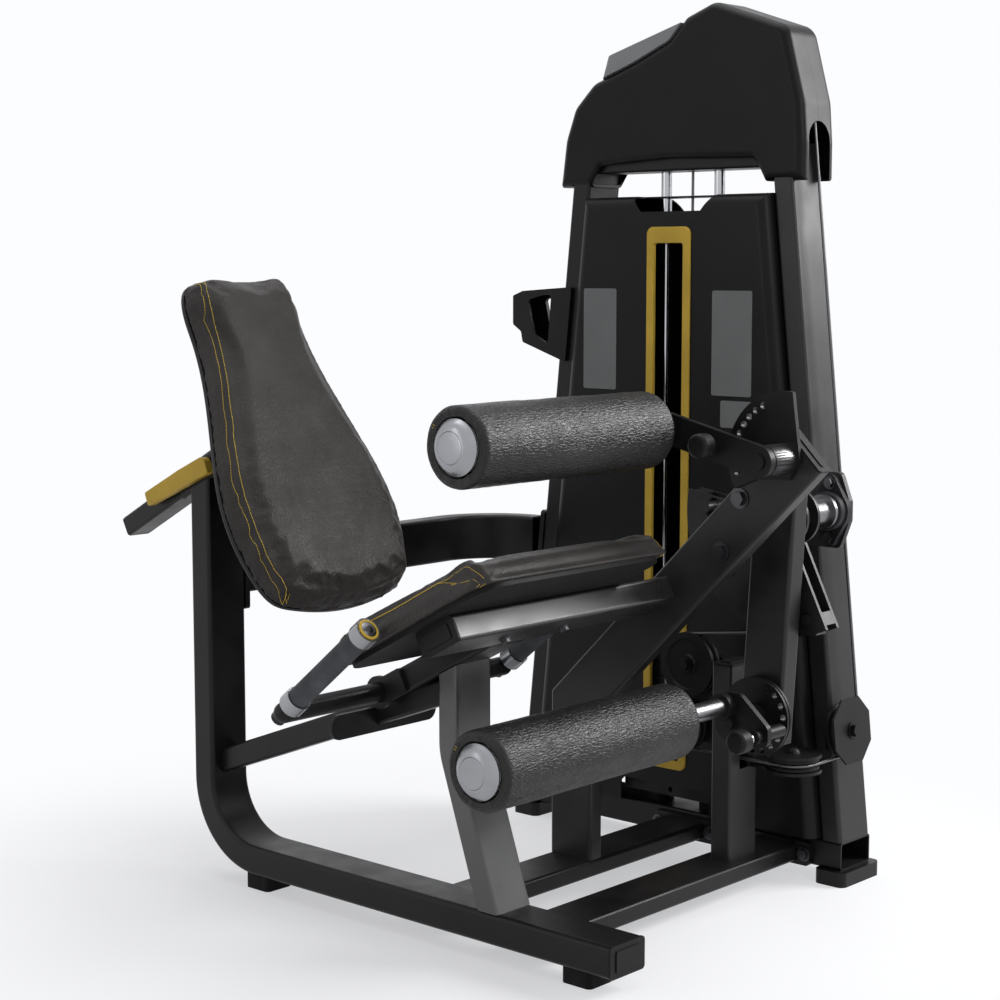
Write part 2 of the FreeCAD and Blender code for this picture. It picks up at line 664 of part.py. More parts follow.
def tower_head():
    """Beam between the uprights' tops, with the cheeks of the top pulleys."""
    bottom = UPRIGHT_TOP_Z - HEAD_BEAM_HEIGHT
    inner = upright_face_y(bottom) + UPRIGHT_DEPTH / math.cos(math.radians(UPRIGHT_LEAN))
    beam_z = UPRIGHT_TOP_Z - HEAD_BEAM_HEIGHT / 2
    beam = tube((TOWER_X, inner - 30, beam_z), (TOWER_X, 2 * TOWER_Y - inner + 30, beam_z),
                (1, 0, 0), 70, HEAD_BEAM_HEIGHT, 5)
    beam = beam.cut(front_upright_block()).cut(mirror_y(front_upright_block()))
    cable_hole = rod((TOWER_X, TOWER_Y, bottom - 10), (TOWER_X, TOWER_Y, UPRIGHT_TOP_Z + 10), 12)
    beam = beam.cut(cable_hole)
    for offset in (-ROD_SPACING / 2, ROD_SPACING / 2):
        y = TOWER_Y + offset
        seat = rod((TOWER_X, y, bottom - 5), (TOWER_X, y, bottom + 12), ROD_RADIUS + SEAT_GAP)
        beam = beam.cut(seat)
    cheeks = []
    for y, z in (front_top_pulley(), rear_top_pulley()):
        for side in (-1, 1):
            x = TOWER_X + side * (PULLEY_WIDTH / 2 + 5)
            outline = [(y - 22, UPRIGHT_TOP_Z), (y + 22, UPRIGHT_TOP_Z), (y + 22, z), (y - 22, z)]
            cheek = prism_x(x - 2.5, x + 2.5, outline)
            cheeks.append(cheek.fuse(rod_x(x - 2.5, x + 2.5, y, z, 22)))
        cheeks.append(rod_x(TOWER_X - PULLEY_WIDTH / 2 - 12, TOWER_X + PULLEY_WIDTH / 2 + 12,
                            y, z, AXLE_RADIUS))
    return fuse([beam] + cheeks)


def front_upright_block():
    """The space that the front upright takes, as a full bar."""
    bar = box((TOWER_X - 60, TOWER_X + 60), (0, UPRIGHT_DEPTH), (-60, UPRIGHT_TOP_Z + 60))
    return lean_front(bar)


def front_top_pulley():
    """Centre of the pulley from which the cable runs down the front upright."""
    lean = math.radians(UPRIGHT_LEAN)
    reach = (top_groove() - FRONT_PULLEY_OFFSET) / math.cos(lean)
    return (upright_face_y(TOP_PULLEY_Z) + reach, TOP_PULLEY_Z)


def rear_top_pulley():
    """Centre of the pulley above the stack."""
    return (TOWER_Y - top_groove(), TOP_PULLEY_Z)


def top_groove():
    return TOP_PULLEY_RADIUS - PULLEY_GROOVE


def guide_rods():
    bottom = BASE_BEAM_TOP
    top = UPRIGHT_TOP_Z - HEAD_BEAM_HEIGHT + 12 - SEAT_GAP
    rods = []
    for offset in (-ROD_SPACING / 2, ROD_SPACING / 2):
        y = TOWER_Y + offset
        rods.append(rod((TOWER_X, y, bottom), (TOWER_X, y, top), ROD_RADIUS))
    return rods


def bumpers():
    """Rubber rings on the guide rods, under the stack."""
    rings = []
    for offset in (-ROD_SPACING / 2, ROD_SPACING / 2):
        y = TOWER_Y + offset
        ring = rod((TOWER_X, y, BASE_BEAM_TOP), (TOWER_X, y, BASE_BEAM_TOP + BUMPER_HEIGHT),
                   BUMPER_RADIUS)
        ring = fillet_where(ring, 4, lambda e, m: m.z > BASE_BEAM_TOP + 1 and e.Length > 50)
        hole = rod((TOWER_X, y, 0), (TOWER_X, y, 200), ROD_RADIUS + SEAT_GAP)
        rings.append(ring.cut(hole))
    return rings


# ---------------------------------------------------------------- weight stack
STACK_BOTTOM_Z = BASE_BEAM_TOP + BUMPER_HEIGHT
STACK_CABLE_TOP = 1180.0


def weight_plate(z):
    """One plate with its rod holes, stem hole and selector hole."""
    shape = box((TOWER_X - PLATE_DEPTH / 2, TOWER_X + PLATE_DEPTH / 2),
                (TOWER_Y - PLATE_WIDTH / 2, TOWER_Y + PLATE_WIDTH / 2),
                (z, z + PLATE_THICKNESS))
    shape = fillet_where(shape, 8, lambda e, m: along(e, Z_AXIS))
    for offset in (-ROD_SPACING / 2, ROD_SPACING / 2):
        y = TOWER_Y + offset
        shape = shape.cut(rod((TOWER_X, y, z - 5), (TOWER_X, y, z + 40), ROD_RADIUS + 1))
    shape = shape.cut(rod((TOWER_X, TOWER_Y, z - 5), (TOWER_X, TOWER_Y, z + 40), STEM_RADIUS + 1))
    selector = rod_x(TOWER_X - PLATE_DEPTH, TOWER_X + 30, TOWER_Y, z + PLATE_THICKNESS / 2,
                     SELECTOR_RADIUS + RUN_GAP)
    return shape.cut(selector)


def plate_z(index):
    """Underside of a plate, counted from the lowest one."""
    return STACK_BOTTOM_Z + SEAT_GAP + index * PLATE_PITCH


def resting_plates():
    count = PLATE_COUNT - PLATES_LIFTED
    return Part.makeCompound([weight_plate(plate_z(k)) for k in range(count)])


def lifted_plates():
    first = PLATE_COUNT - PLATES_LIFTED
    return [weight_plate(plate_z(k)) for k in range(first, PLATE_COUNT)]


def lift_stem():
    """The stem through the stack, its collar and the cable's eye block."""
    bottom = plate_z(1)
    top_plate = plate_z(PLATE_COUNT - 1) + PLATE_THICKNESS
    stem = rod((TOWER_X, TOWER_Y, bottom), (TOWER_X, TOWER_Y, top_plate + 34), STEM_RADIUS)
    collar = rod((TOWER_X, TOWER_Y, top_plate), (TOWER_X, TOWER_Y, top_plate + 12), 24)
    shape = fuse([stem, collar])
    for k in range(1, PLATE_COUNT):
        z = plate_z(k) + PLATE_THICKNESS / 2
        shape = shape.cut(rod_x(TOWER_X - 40, TOWER_X + 40, TOWER_Y, z, SELECTOR_RADIUS + RUN_GAP))
    bore = rod((TOWER_X, TOWER_Y, top_plate + 14), (TOWER_X, TOWER_Y, top_plate + 60),
               CABLE_RADIUS + SEAT_GAP)
    return shape.cut(bore)


def selector_pin():
    z = plate_z(PLATE_COUNT - PLATES_LIFTED) + PLATE_THICKNESS / 2
    face = TOWER_X - PLATE_DEPTH / 2
    pin = rod_x(face - 20, TOWER_X + 26, TOWER_Y, z, SELECTOR_RADIUS)
    knob = rod_x(face - 44, face - 18, TOWER_Y, z, 11)
    knob = fillet_where(knob, 4, lambda e, m: e.Length > 40 and m.x < face - 30)
    return fuse([pin, knob])


# ---------------------------------------------------------------- covers
def shroud_outline(inset):
    """Shroud in the y-z plane, between the uprights' inner faces."""
    depth = UPRIGHT_DEPTH / math.cos(math.radians(UPRIGHT_LEAN)) + 1.0
    low = SHROUD_BOTTOM_Z
    high = SHROUD_TOP_Z - inset
    y_low = upright_face_y(low) + depth + inset
    y_high = upright_face_y(high) + depth + inset
    return [(y_low, low), (2 * TOWER_Y - y_low, low), (2 * TOWER_Y - y_high, high),
            (y_high, high)]


def shroud_block(inset):
    near = TOWER_X - SHROUD_REACH + inset
    back = TOWER_X - SEAT_GAP / 2
    block = prism_x(near, back, shroud_outline(inset))
    radius = SHROUD_CORNER - inset

    def outer_edge(edge, middle):
        return abs(middle.x - near) < 0.1 and middle.z > SHROUD_BOTTOM_Z + 1

    return fillet_where(block, radius, outer_edge)


def shroud():
    """Near half of the stack cover, open at the back and below."""
    shell = shroud_block(0).cut(shroud_block(SHROUD_WALL).fuse(shroud_inside()))
    near = TOWER_X - SHROUD_REACH
    half = SHROUD_FOOT_HALF_WIDTH
    cut = SHROUD_FOOT_CHAMFER
    foot = [(TOWER_Y - half, 0), (TOWER_Y + half, 0), (TOWER_Y + half, SHROUD_FOOT_HEIGHT - cut),
            (TOWER_Y + half - cut, SHROUD_FOOT_HEIGHT), (TOWER_Y - half + cut, SHROUD_FOOT_HEIGHT),
            (TOWER_Y - half, SHROUD_FOOT_HEIGHT - cut)]
    narrow = SHROUD_NOTCH_HALF_WIDTH
    wide = narrow + SHROUD_NOTCH_FLARE
    high = SHROUD_NOTCH_BOTTOM_Z + SHROUD_NOTCH_HEIGHT
    notch = [(TOWER_Y - narrow, SHROUD_NOTCH_BOTTOM_Z), (TOWER_Y + narrow, SHROUD_NOTCH_BOTTOM_Z),
             (TOWER_Y + wide, high), (TOWER_Y - wide, high)]
    for outline in (foot, notch):
        shell = shell.cut(prism_x(near - 5, TOWER_X - 20, outline))
    holes = [(TOWER_Y, CABLE_HOLE_RADIUS), (TOWER_Y - ROD_SPACING / 2, ROD_HOLE_RADIUS),
             (TOWER_Y + ROD_SPACING / 2, ROD_HOLE_RADIUS)]
    for y, radius in holes:
        shell = shell.cut(rod((TOWER_X, y, SHROUD_TOP_Z - 20), (TOWER_X, y, SHROUD_TOP_Z + 20),
                              radius))
    return shell


def shroud_inside():
    """Opens the shroud's back and foot."""
    outline = shroud_outline(SHROUD_WALL)
    low = [(outline[0][0], 0), (outline[1][0], 0)]
    return prism_x(TOWER_X - SHROUD_REACH + SHROUD_CORNER, TOWER_X + 5, low + outline[2:])


def slot_block(margin, x0, x1, crown=0.0):
    """The slot's block grown by a margin, and by a crown more at its top."""
    half = SLOT_WIDTH / 2 + margin
    centre = Vector(x0, TOWER_Y, (SLOT_BOTTOM_Z + SLOT_TOP_Z + crown) / 2)
    face = solid_face(centre, Vector(0, 1, 0), Z_AXIS, 2 * half,
                      SLOT_TOP_Z - SLOT_BOTTOM_Z + 2 * margin + crown, 6 + margin / 2)
    return face.extrude(Vector(x1 - x0, 0, 0))


def shroud_near():
    near = TOWER_X - SHROUD_REACH
    return shroud().cut(slot_block(0, near - 10, near + 30))


def slot_frame():
    face = TOWER_X - SHROUD_REACH
    x0 = face - SLOT_FRAME_THICKNESS
    rim = slot_block(SLOT_FRAME_MARGIN, x0, face, SLOT_FRAME_CROWN)
    rim = rim.cut(slot_block(-1.5, x0 - 5, face + 5))
    lip = slot_block(-SEAT_GAP, face - 1, face + SHROUD_WALL)
    lip = lip.cut(slot_block(-1.5, x0 - 5, face + 10))
    rim = fillet_where(rim, 1.5, lambda e, m: abs(m.x - x0) < 0.1)
    return fuse([rim, lip])


TRAY_WIDTH = 96.0
TRAY_WALL = 3.0
TRAY_CORNER = 14.0
TRAY_HIGH_Y = 350.0
# Side view of the tray, whose lower edge lies inside the cowl, which cuts it.
TRAY_OUTLINE = ((552, 1362), (530, 1428), (TRAY_HIGH_Y, 1480), (TRAY_HIGH_Y, 1420))
COWL_FRONT_Y = 101.0
COWL_BOTTOM_Z = 1198.0
# Side view of the cowl: a point and the radius that rounds it.
COWL_OUTLINE = (((COWL_FRONT_Y, COWL_BOTTOM_Z), 2), ((COWL_FRONT_Y, 1262), 40), ((106, 1330), 60),
                ((140, 1456), 34), ((292, 1508), 30), ((352, 1486), 14), ((388, 1448), 30),
                ((470, 1414), 60), ((560, 1384), 40), ((604, 1342), 40), ((626, 1284), 60),
                ((638, COWL_BOTTOM_Z), 2), ((562, COWL_BOTTOM_Z), 2), ((539, 1232), 10),
                ((390, 1240), 80), ((204, 1235), 10), ((183, COWL_BOTTOM_Z), 2))
# Opening of the cowl's floor between its legs.
COWL_MOUTH = ((183, 1100), (562, 1100), (562, 1203), (548, 1252), (196, 1252), (183, 1203))


def rounded_outline(corners, x, inset=0.0):
    """A closed wire in a plane of constant x with each corner rounded."""
    count = len(corners)
    points = [Vector(x, p[0], p[1]) for p, radius in corners]
    arcs = []
    for k in range(count):
        before, here, after = points[k - 1], points[k], points[(k + 1) % count]
        a = (before - here).normalize()
        b = (after - here).normalize()
        half = a.getAngle(b) / 2
        radius = corners[k][1]
        reach = radius / math.tan(half)
        reach = min(reach, 0.48 * (before - here).Length, 0.48 * (after - here).Length)
        radius = reach * math.tan(half)
        centre = here + (a + b).normalize() * (radius / math.sin(half))
        middle = centre + (here - centre).normalize() * radius
        arcs.append(Part.Arc(here + a * reach, middle, here + b * reach))
    edges = []
    for k in range(count):
        arc = arcs[k]
        following = arcs[(k + 1) % count]
        edges.append(arc.toShape())
        start, end = arc.EndPoint, following.StartPoint
        if (end - start).Length > 1e-4:
            edges.append(Part.LineSegment(start, end).toShape())
    wire = Part.Wire(edges)
    if inset:
        wire = wire.makeOffset2D(-inset)
    return wire


def cowl_block(inset):
    near = TOWER_X - COWL_HALF_WIDTH + inset
    back = TOWER_X - SEAT_GAP / 2 + (5 if inset else 0)
    face = Part.Face(rounded_outline(COWL_OUTLINE, near, inset))
    block = face.extrude(Vector(back - near, 0, 0))
    radius = COWL_EDGE - inset
    return fillet_where(block, radius, lambda e, m: abs(m.x - near) < 0.1)


def cowl_near():
    """Near half of the head cowl, open towards the other half."""
    shell = cowl_block(0).cut(cowl_block(COWL_WALL))
    mouth = prism_x(TOWER_X - COWL_HALF_WIDTH + 2 * COWL_WALL, TOWER_X + 5, COWL_MOUTH)
    ahead, behind = COWL_FRONT_Y - 40, COWL_FRONT_Y + 50
    arch = box((TOWER_X - COWL_ARCH_RADIUS, TOWER_X + 5), (ahead, behind),
               (COWL_BOTTOM_Z - 20, COWL_ARCH_Z))
    arch = arch.fuse(rod((TOWER_X, ahead, COWL_ARCH_Z), (TOWER_X, behind, COWL_ARCH_Z),
                         COWL_ARCH_RADIUS))
    legs = upright_slot()
    return shell.cut(mouth).cut(arch).cut(legs).cut(mirror_y(legs))


def upright_slot():
    """The way that an upright takes through the cowl's floor."""
    low, high = 1150.0, UPRIGHT_TOP_Z
    depth = UPRIGHT_DEPTH + 2
    outline = [(upright_face_y(low) - 1, low), (upright_face_y(low) + depth, low),
               (upright_face_y(high) + depth, high), (upright_face_y(high) - 1, high)]
    return prism_x(UPRIGHT_NEAR_X - SEAT_GAP, TOWER_X + 5, outline)


def cowl_tray():
    """Open tray on the cowl's rear slope, its floor laid on the cowl."""
    near = TOWER_X - TRAY_WIDTH / 2
    far = TOWER_X + TRAY_WIDTH / 2
    (low_y, low_z), (rim_y, rim_z) = TRAY_OUTLINE[:2]
    outer = prism_x(near, far, TRAY_OUTLINE)
    outer = fillet_where(outer, TRAY_CORNER, lambda e, m: rim_y < m.y < low_y and m.z < rim_z
                         and min(abs(m.x - near), abs(m.x - far)) < 0.1)
    rise = Vector(0, rim_y - low_y, rim_z - low_z)
    foot = Vector(near + TRAY_WALL, low_y - TRAY_WALL, low_z)
    lip = foot + rise * 2
    hollow = prism_x(near + TRAY_WALL, far - TRAY_WALL,
                     [(foot.y, foot.z), (lip.y, lip.z), (TRAY_HIGH_Y - 60, lip.z),
                      (TRAY_HIGH_Y - 60, low_z)])
    hollow = fillet_where(hollow, TRAY_CORNER - TRAY_WALL, lambda e, m: m.y < foot.y
                          and m.y > lip.y and m.z < lip.z - 1 and m.z > low_z + 1)
    hollow = hollow.cut(grown_cowl(SEAT_GAP + TRAY_WALL))
    tray = outer.cut(hollow).cut(grown_cowl(SEAT_GAP))
    return max(tray.Solids, key=lambda solid: solid.Volume)


def grown_cowl(growth):
    """The cowl's side view grown all round, as a block."""
    wire = rounded_outline(COWL_OUTLINE, TOWER_X - 200).makeOffset2D(growth)
    return Part.Face(wire).extrude(Vector(400, 0, 0))


HOLDER_DEPTH = 60.0
HOLDER_AHEAD = 8.0        # of the upright's near side
HOLDER_FACE = 6.0         # thickness of the near wall
HOLDER_RIM = 5.0          # thickness of the wall round it
# Side view of the bottle holder and of the window in its walls: (y, z) and rounding.
HOLDER_OUTLINE = (((747, 999), 4), ((723, 1008), 4), ((603, 1016), 4), ((618, 877), 4),
                  ((723, 912), 6), ((727, 932), 6), ((747, 945), 6))
HOLDER_WINDOW = (((711, 991), 4), ((676, 1000), 6), ((652, 1002), 6), ((660, 909), 6),
                 ((696, 928), 4))


def bottle_holder():
    """Plastic cup frame screwed to the rear upright."""
    near = UPRIGHT_NEAR_X - HOLDER_AHEAD
    outer = Part.Face(rounded_outline(HOLDER_OUTLINE, near)).extrude(Vector(HOLDER_DEPTH, 0, 0))
    hollow = rounded_outline(HOLDER_OUTLINE, near + HOLDER_FACE).makeOffset2D(-HOLDER_RIM)
    hollow = Part.Face(hollow).extrude(Vector(HOLDER_DEPTH - 2 * HOLDER_FACE - 2, 0, 0))
    opening = Part.Face(rounded_outline(HOLDER_WINDOW, near - 5))
    opening = opening.extrude(Vector(HOLDER_DEPTH + 20, 0, 0))
    upright = mirror_y(front_upright_block())
    upright = upright.common(box((UPRIGHT_NEAR_X - SEAT_GAP, 900), (0, 900), (0, 1400)))
    beside = upright.copy()
    beside.translate(Vector(0, SEAT_GAP, 0))
    return outer.cut(hollow).cut(opening).cut(upright).cut(beside)


# ---------------------------------------------------------------- swing arm
BEARING_PLATE_X = UPRIGHT_NEAR_X - BEARING_PLATE_THICKNESS
BEARING_X = BEARING_PLATE_X - BEARING_DEPTH
FLANGE_X = BEARING_PLATE_X - FLANGE_THICKNESS
CAM_NEAR_X = CABLE_X - CAM_HALF_GAP - CAM_PLATE
CAM_FAR_X = CABLE_X + CAM_HALF_GAP + CAM_PLATE
ARM_NEAR_X = ARM_X - ARM_WIDTH / 2
ARM_FAR_X = ARM_X + ARM_WIDTH / 2
DISC_X = ARM_NEAR_X - 10.0 - DISC_THICKNESS


def bearing_plate():
    """Steel plate on the front upright that reaches ahead to the knee axis."""
    lean = math.tan(math.radians(UPRIGHT_LEAN))
    low, high = KNEE_Z - BEARING_PLATE_REACH, KNEE_Z + BEARING_PLATE_REACH
    rear_low = upright_face_y(low) + UPRIGHT_DEPTH
    rear_high = rear_low + (high - low) * lean
    outline = (((KNEE_Y - 32, KNEE_Z - 16), 14), ((KNEE_Y - 14, low), 10), ((rear_low, low), 6),
               ((rear_high, high), 6), ((KNEE_Y - 14, high), 10), ((KNEE_Y - 32, KNEE_Z + 16), 14))
    face = Part.Face(rounded_outline(outline, BEARING_PLATE_X))
    plate = face.extrude(Vector(BEARING_PLATE_THICKNESS, 0, 0))
    return plate.cut(rod_x(BEARING_PLATE_X - 5, UPRIGHT_NEAR_X + 5, KNEE_Y, KNEE_Z,
                           KNEE_SHAFT_RADIUS + 4))


def flange_bearing():
    """Two-bolt flange bearing: a rhombic foot and a round housing."""
    x0, x1 = FLANGE_X, BEARING_PLATE_X
    foot = rod_x(x0, x1, KNEE_Y, KNEE_Z, FLANGE_RADIUS)
    ear = FLANGE_EAR_RADIUS
    waist = FLANGE_RADIUS - 3
    for side in (-1, 1):
        z = KNEE_Z + side * FLANGE_BOLT_REACH
        tangent_z = z + side * 3
        waist_z = KNEE_Z + side * 14
        cheek = prism_x(x0, x1, [(KNEE_Y - ear + 0.4, tangent_z), (KNEE_Y + ear - 0.4, tangent_z),
                                 (KNEE_Y + waist, waist_z), (KNEE_Y - waist, waist_z)])
        foot = foot.fuse(rod_x(x0, x1, KNEE_Y, z, ear)).fuse(cheek)
    housing = rod_x(BEARING_X, x1, KNEE_Y, KNEE_Z, FLANGE_RADIUS - 3)
    housing = fillet_where(housing, 4, lambda e, m: abs(m.x - BEARING_X) < 0.1)
    body = fuse([foot, housing])
    body = body.cut(rod_x(BEARING_X - 5, x1 + 5, KNEE_Y, KNEE_Z, KNEE_SHAFT_RADIUS + TURN_GAP))
    for side in (-1, 1):
        z = KNEE_Z + side * FLANGE_BOLT_REACH
        body = body.cut(rod_x(x0 - 5, x1 + 5, KNEE_Y, z, FLANGE_BOLT_RADIUS))
    return body


def knee_shaft():
    """Shaft through the arm, the cam and the bearing, with its stop collar."""
    shaft = rod_x(ARM_NEAR_X - 6, UPRIGHT_NEAR_X - 1, KNEE_Y, KNEE_Z, KNEE_SHAFT_RADIUS)
    shaft = fillet_where(shaft, 2, lambda e, m: m.x < ARM_NEAR_X)
    collar = rod_x(BEARING_X - 9, BEARING_X - RUN_GAP, KNEE_Y, KNEE_Z, KNEE_SHAFT_RADIUS + 8)
    return fuse([shaft, collar])


def arm_mid_y(z):
    return KNEE_Y - 16 + (KNEE_Z - z) * math.tan(math.radians(ARM_LEAN)) + 2


def swing_arm():
    start = (ARM_X, arm_mid_y(ARM_TOP_Z), ARM_TOP_Z)
    end = (ARM_X, arm_mid_y(ARM_BOTTOM_Z), ARM_BOTTOM_Z)
    arm = tube(start, end, (1, 0, 0), ARM_WIDTH, ARM_DEPTH, 6)
    arm = arm.fuse(rod_x(ARM_NEAR_X, ARM_FAR_X, KNEE_Y, KNEE_Z, KNEE_SHAFT_RADIUS + 9))
    arm = arm.fuse(rod_x(DISC_X + DISC_THICKNESS + SEAT_GAP, ARM_NEAR_X + 2, CRANK_Y, CRANK_Z, 30))
    arm = arm.cut(rod_x(ARM_NEAR_X - 1, ARM_FAR_X + 1, KNEE_Y, KNEE_Z,
                        KNEE_SHAFT_RADIUS + SEAT_GAP))
    return arm.removeSplitter()


def arm_caps():
    """Plastic plugs at both ends of the swing arm."""
    lean = math.radians(ARM_LEAN)
    axis = Vector(0, math.sin(lean), -math.cos(lean))
    across = axis.cross(X_AXIS)
    caps = []
    for z, side in ((ARM_TOP_Z, -1), (ARM_BOTTOM_Z, 1)):
        foot = Vector(ARM_X, arm_mid_y(z), z) + axis * (side * SEAT_GAP)
        face = solid_face(foot, X_AXIS, across, ARM_WIDTH, ARM_DEPTH, 6)
        cap = face.extrude(axis * (side * CAP_LIP))
        plug = solid_face(foot, X_AXIS, across, ARM_WIDTH - 2 * TUBE_WALL - 1,
                          ARM_DEPTH - 2 * TUBE_WALL - 1, 3)
        caps.append(fuse([cap, plug.extrude(axis * (side * -12))]))
    return caps


def cam_sector(x0, x1, outer, inner):
    """A ring sector about the knee axis, from the front edge to the rear one."""
    disc = rod_x(x0, x1, KNEE_Y, KNEE_Z, outer)
    if inner:
        disc = disc.cut(rod_x(x0 - 1, x1 + 1, KNEE_Y, KNEE_Z, inner))
    reach = outer * 3
    front = -90 - CAM_FRONT_ANGLE - 9
    rear = -90 + CAM_REAR_ANGLE
    middle = (front + rear) / 2
    wedge = [(KNEE_Y, KNEE_Z)]
    for angle in (front, (front + middle) / 2, middle, (middle + rear) / 2, rear):
        wedge.append(polar(KNEE_Y, KNEE_Z, reach, angle))
    return disc.common(prism_x(x0, x1, wedge))


def cam():
    """Two spoked side plates with the cable's rim between them."""
    groove = CAM_RADIUS - CABLE_RADIUS - RUN_GAP / 2
    outer = CAM_RADIUS + CAM_RIM_LIP
    x0 = CABLE_X - CAM_HALF_GAP
    x1 = CABLE_X + CAM_HALF_GAP
    rim = cam_sector(x0, x1, groove, groove - CAM_WEB)
    plates = []
    for side_x in (CAM_NEAR_X, x1):
        plate = cam_sector(side_x, side_x + CAM_PLATE, outer, 0)
        hub = rod_x(side_x, side_x + CAM_PLATE, KNEE_Y, KNEE_Z, 46)
        plate = plate.fuse(hub)
        for k in range(3):
            angle = -90 + 3 + k * 36
            window = cam_window(side_x, angle)
            plate = plate.cut(window)
        plates.append(plate)
    hub = rod_x(ARM_FAR_X, CAM_FAR_X, KNEE_Y, KNEE_Z, KNEE_SHAFT_RADIUS + 9)
    body = fuse([rim, hub] + plates)
    body = body.cut(rod_x(ARM_FAR_X - 5, CAM_FAR_X + 5, KNEE_Y, KNEE_Z,
                          KNEE_SHAFT_RADIUS + SEAT_GAP))
    lugs = []
    for angle, radius in ((-90 - CAM_FRONT_ANGLE, CAM_RADIUS - 20),
                          (-90 + CAM_REAR_ANGLE - 8, CAM_RADIUS - 36)):
        y, z = polar(KNEE_Y, KNEE_Z, radius, angle)
        lugs.append(rod_x(CAM_NEAR_X - 5, CAM_FAR_X + 5, y, z, 9))
    return fuse([body] + lugs)


def cam_window(x, angle):
    """A rounded triangular window between two spokes."""
    low, high = 66.0, CAM_RADIUS - CAM_WEB - 16
    corners = ((polar(KNEE_Y, KNEE_Z, low, angle + 14), 8),
               (polar(KNEE_Y, KNEE_Z, high, angle + 3), 12),
               (polar(KNEE_Y, KNEE_Z, high + 5, angle + 14), 60),
               (polar(KNEE_Y, KNEE_Z, high, angle + 25), 12))
    return Part.Face(rounded_outline(corners, x - 1)).extrude(Vector(CAM_PLATE + 2, 0, 0))


def index_disc():
    """Thick disc with a ring of pin holes, bolted to the arm's foot."""
    disc = rod_x(DISC_X, DISC_X + DISC_THICKNESS, CRANK_Y, CRANK_Z, DISC_RADIUS)
    groove = rod_x(DISC_X + 4.5, DISC_X + 7.5, CRANK_Y, CRANK_Z, DISC_RADIUS + 1)
    groove = groove.cut(rod_x(DISC_X, DISC_X + 12, CRANK_Y, CRANK_Z, DISC_RADIUS - 3))
    disc = disc.cut(groove)
    disc = disc.cut(rod_x(DISC_X - 1, DISC_X + 20, CRANK_Y, CRANK_Z, PIVOT_RADIUS + RUN_GAP))
    for k in range(-4, 5):
        y, z = polar(CRANK_Y, CRANK_Z, DISC_HOLE_CIRCLE, CRANK_PIN_ANGLE + 20 * k)
        disc = disc.cut(rod_x(DISC_X - 1, DISC_X + 20, y, z, PULL_PIN_RADIUS + RUN_GAP))
    return disc


# ---------------------------------------------------------------- crank and ankle roller
CRANK_FAR_X = CRANK_PLATE_X + CRANK_PLATE_THICKNESS
BOSS_RADIUS = 22.0
PIN_GUIDE_RADIUS = 11.0
PIVOT_RADIUS = 12.0
# Side view of the crank: (y, z) and the radius that rounds the corner.
CRANK_OUTLINE = (((41, 378), 20), ((10, 380), 14), ((-46, 331), 16), ((-46, 299), 14),
                 ((7, 296), 20), ((52, 306), 22), ((60, 350), 20))


def crank_plate():
    """Plate with the roller shaft's boss, its hub and the pin's guide."""
    pin_y, pin_z = polar(CRANK_Y, CRANK_Z, DISC_HOLE_CIRCLE, CRANK_PIN_ANGLE)
    plate = Part.Face(rounded_outline(CRANK_OUTLINE, CRANK_PLATE_X))
    plate = plate.extrude(Vector(CRANK_PLATE_THICKNESS, 0, 0))
    hub = rod_x(CRANK_FAR_X - 2, DISC_X - RUN_GAP, CRANK_Y, CRANK_Z, BOSS_RADIUS)
    guide = rod_x(CRANK_FAR_X - 2, DISC_X - 4, pin_y, pin_z, PIN_GUIDE_RADIUS)
    boss = rod_x(CRANK_PLATE_X - 16, CRANK_PLATE_X + 2, ANKLE_Y, ANKLE_Z, BOSS_RADIUS)
    near_guide = rod_x(CRANK_PLATE_X - 14, CRANK_PLATE_X + 2, pin_y, pin_z, PIN_GUIDE_RADIUS)
    body = fuse([plate, hub, guide, near_guide, boss])
    body = body.cut(rod_x(CRANK_PLATE_X - 20, DISC_X + 1, pin_y, pin_z, PULL_PIN_RADIUS + RUN_GAP))
    body = body.cut(rod_x(CRANK_PLATE_X - 20, CRANK_FAR_X + 1, ANKLE_Y, ANKLE_Z,
                          ROLLER_SHAFT_RADIUS + SEAT_GAP))
    pivot = rod_x(DISC_X - 2, DISC_X + DISC_THICKNESS - 1, CRANK_Y, CRANK_Z, PIVOT_RADIUS)
    bolt = hex_bolt((CRANK_PLATE_X, CRANK_Y, CRANK_Z), (-1, 0, 0), 10, 8)
    return fuse([body, pivot, bolt])


def pull_pin(y, z, knob_end, tip, stop):
    """A drawn plunger along x with a mushroom knob; its collar meets stop when it is pushed in."""
    plunger = rod_x(knob_end + 12, tip, y, z, PULL_PIN_RADIUS)
    neck = rod_x(knob_end + 12, stop - PIN_PUSH - RUN_GAP, y, z, PULL_PIN_RADIUS + 4)
    knob = rod_x(knob_end, knob_end + 24, y, z, PULL_KNOB_RADIUS)
    knob = fillet_where(knob, 7, lambda e, m: abs(m.x - knob_end) < 0.1 and e.Length > 60)
    return fuse([plunger, neck, knob])


def ankle_pull_pin():
    y, z = polar(CRANK_Y, CRANK_Z, DISC_HOLE_CIRCLE, CRANK_PIN_ANGLE)
    return pull_pin(y, z, CRANK_PLATE_X - 65, DISC_X - PIN_DRAWN_GAP, CRANK_PLATE_X - 14)


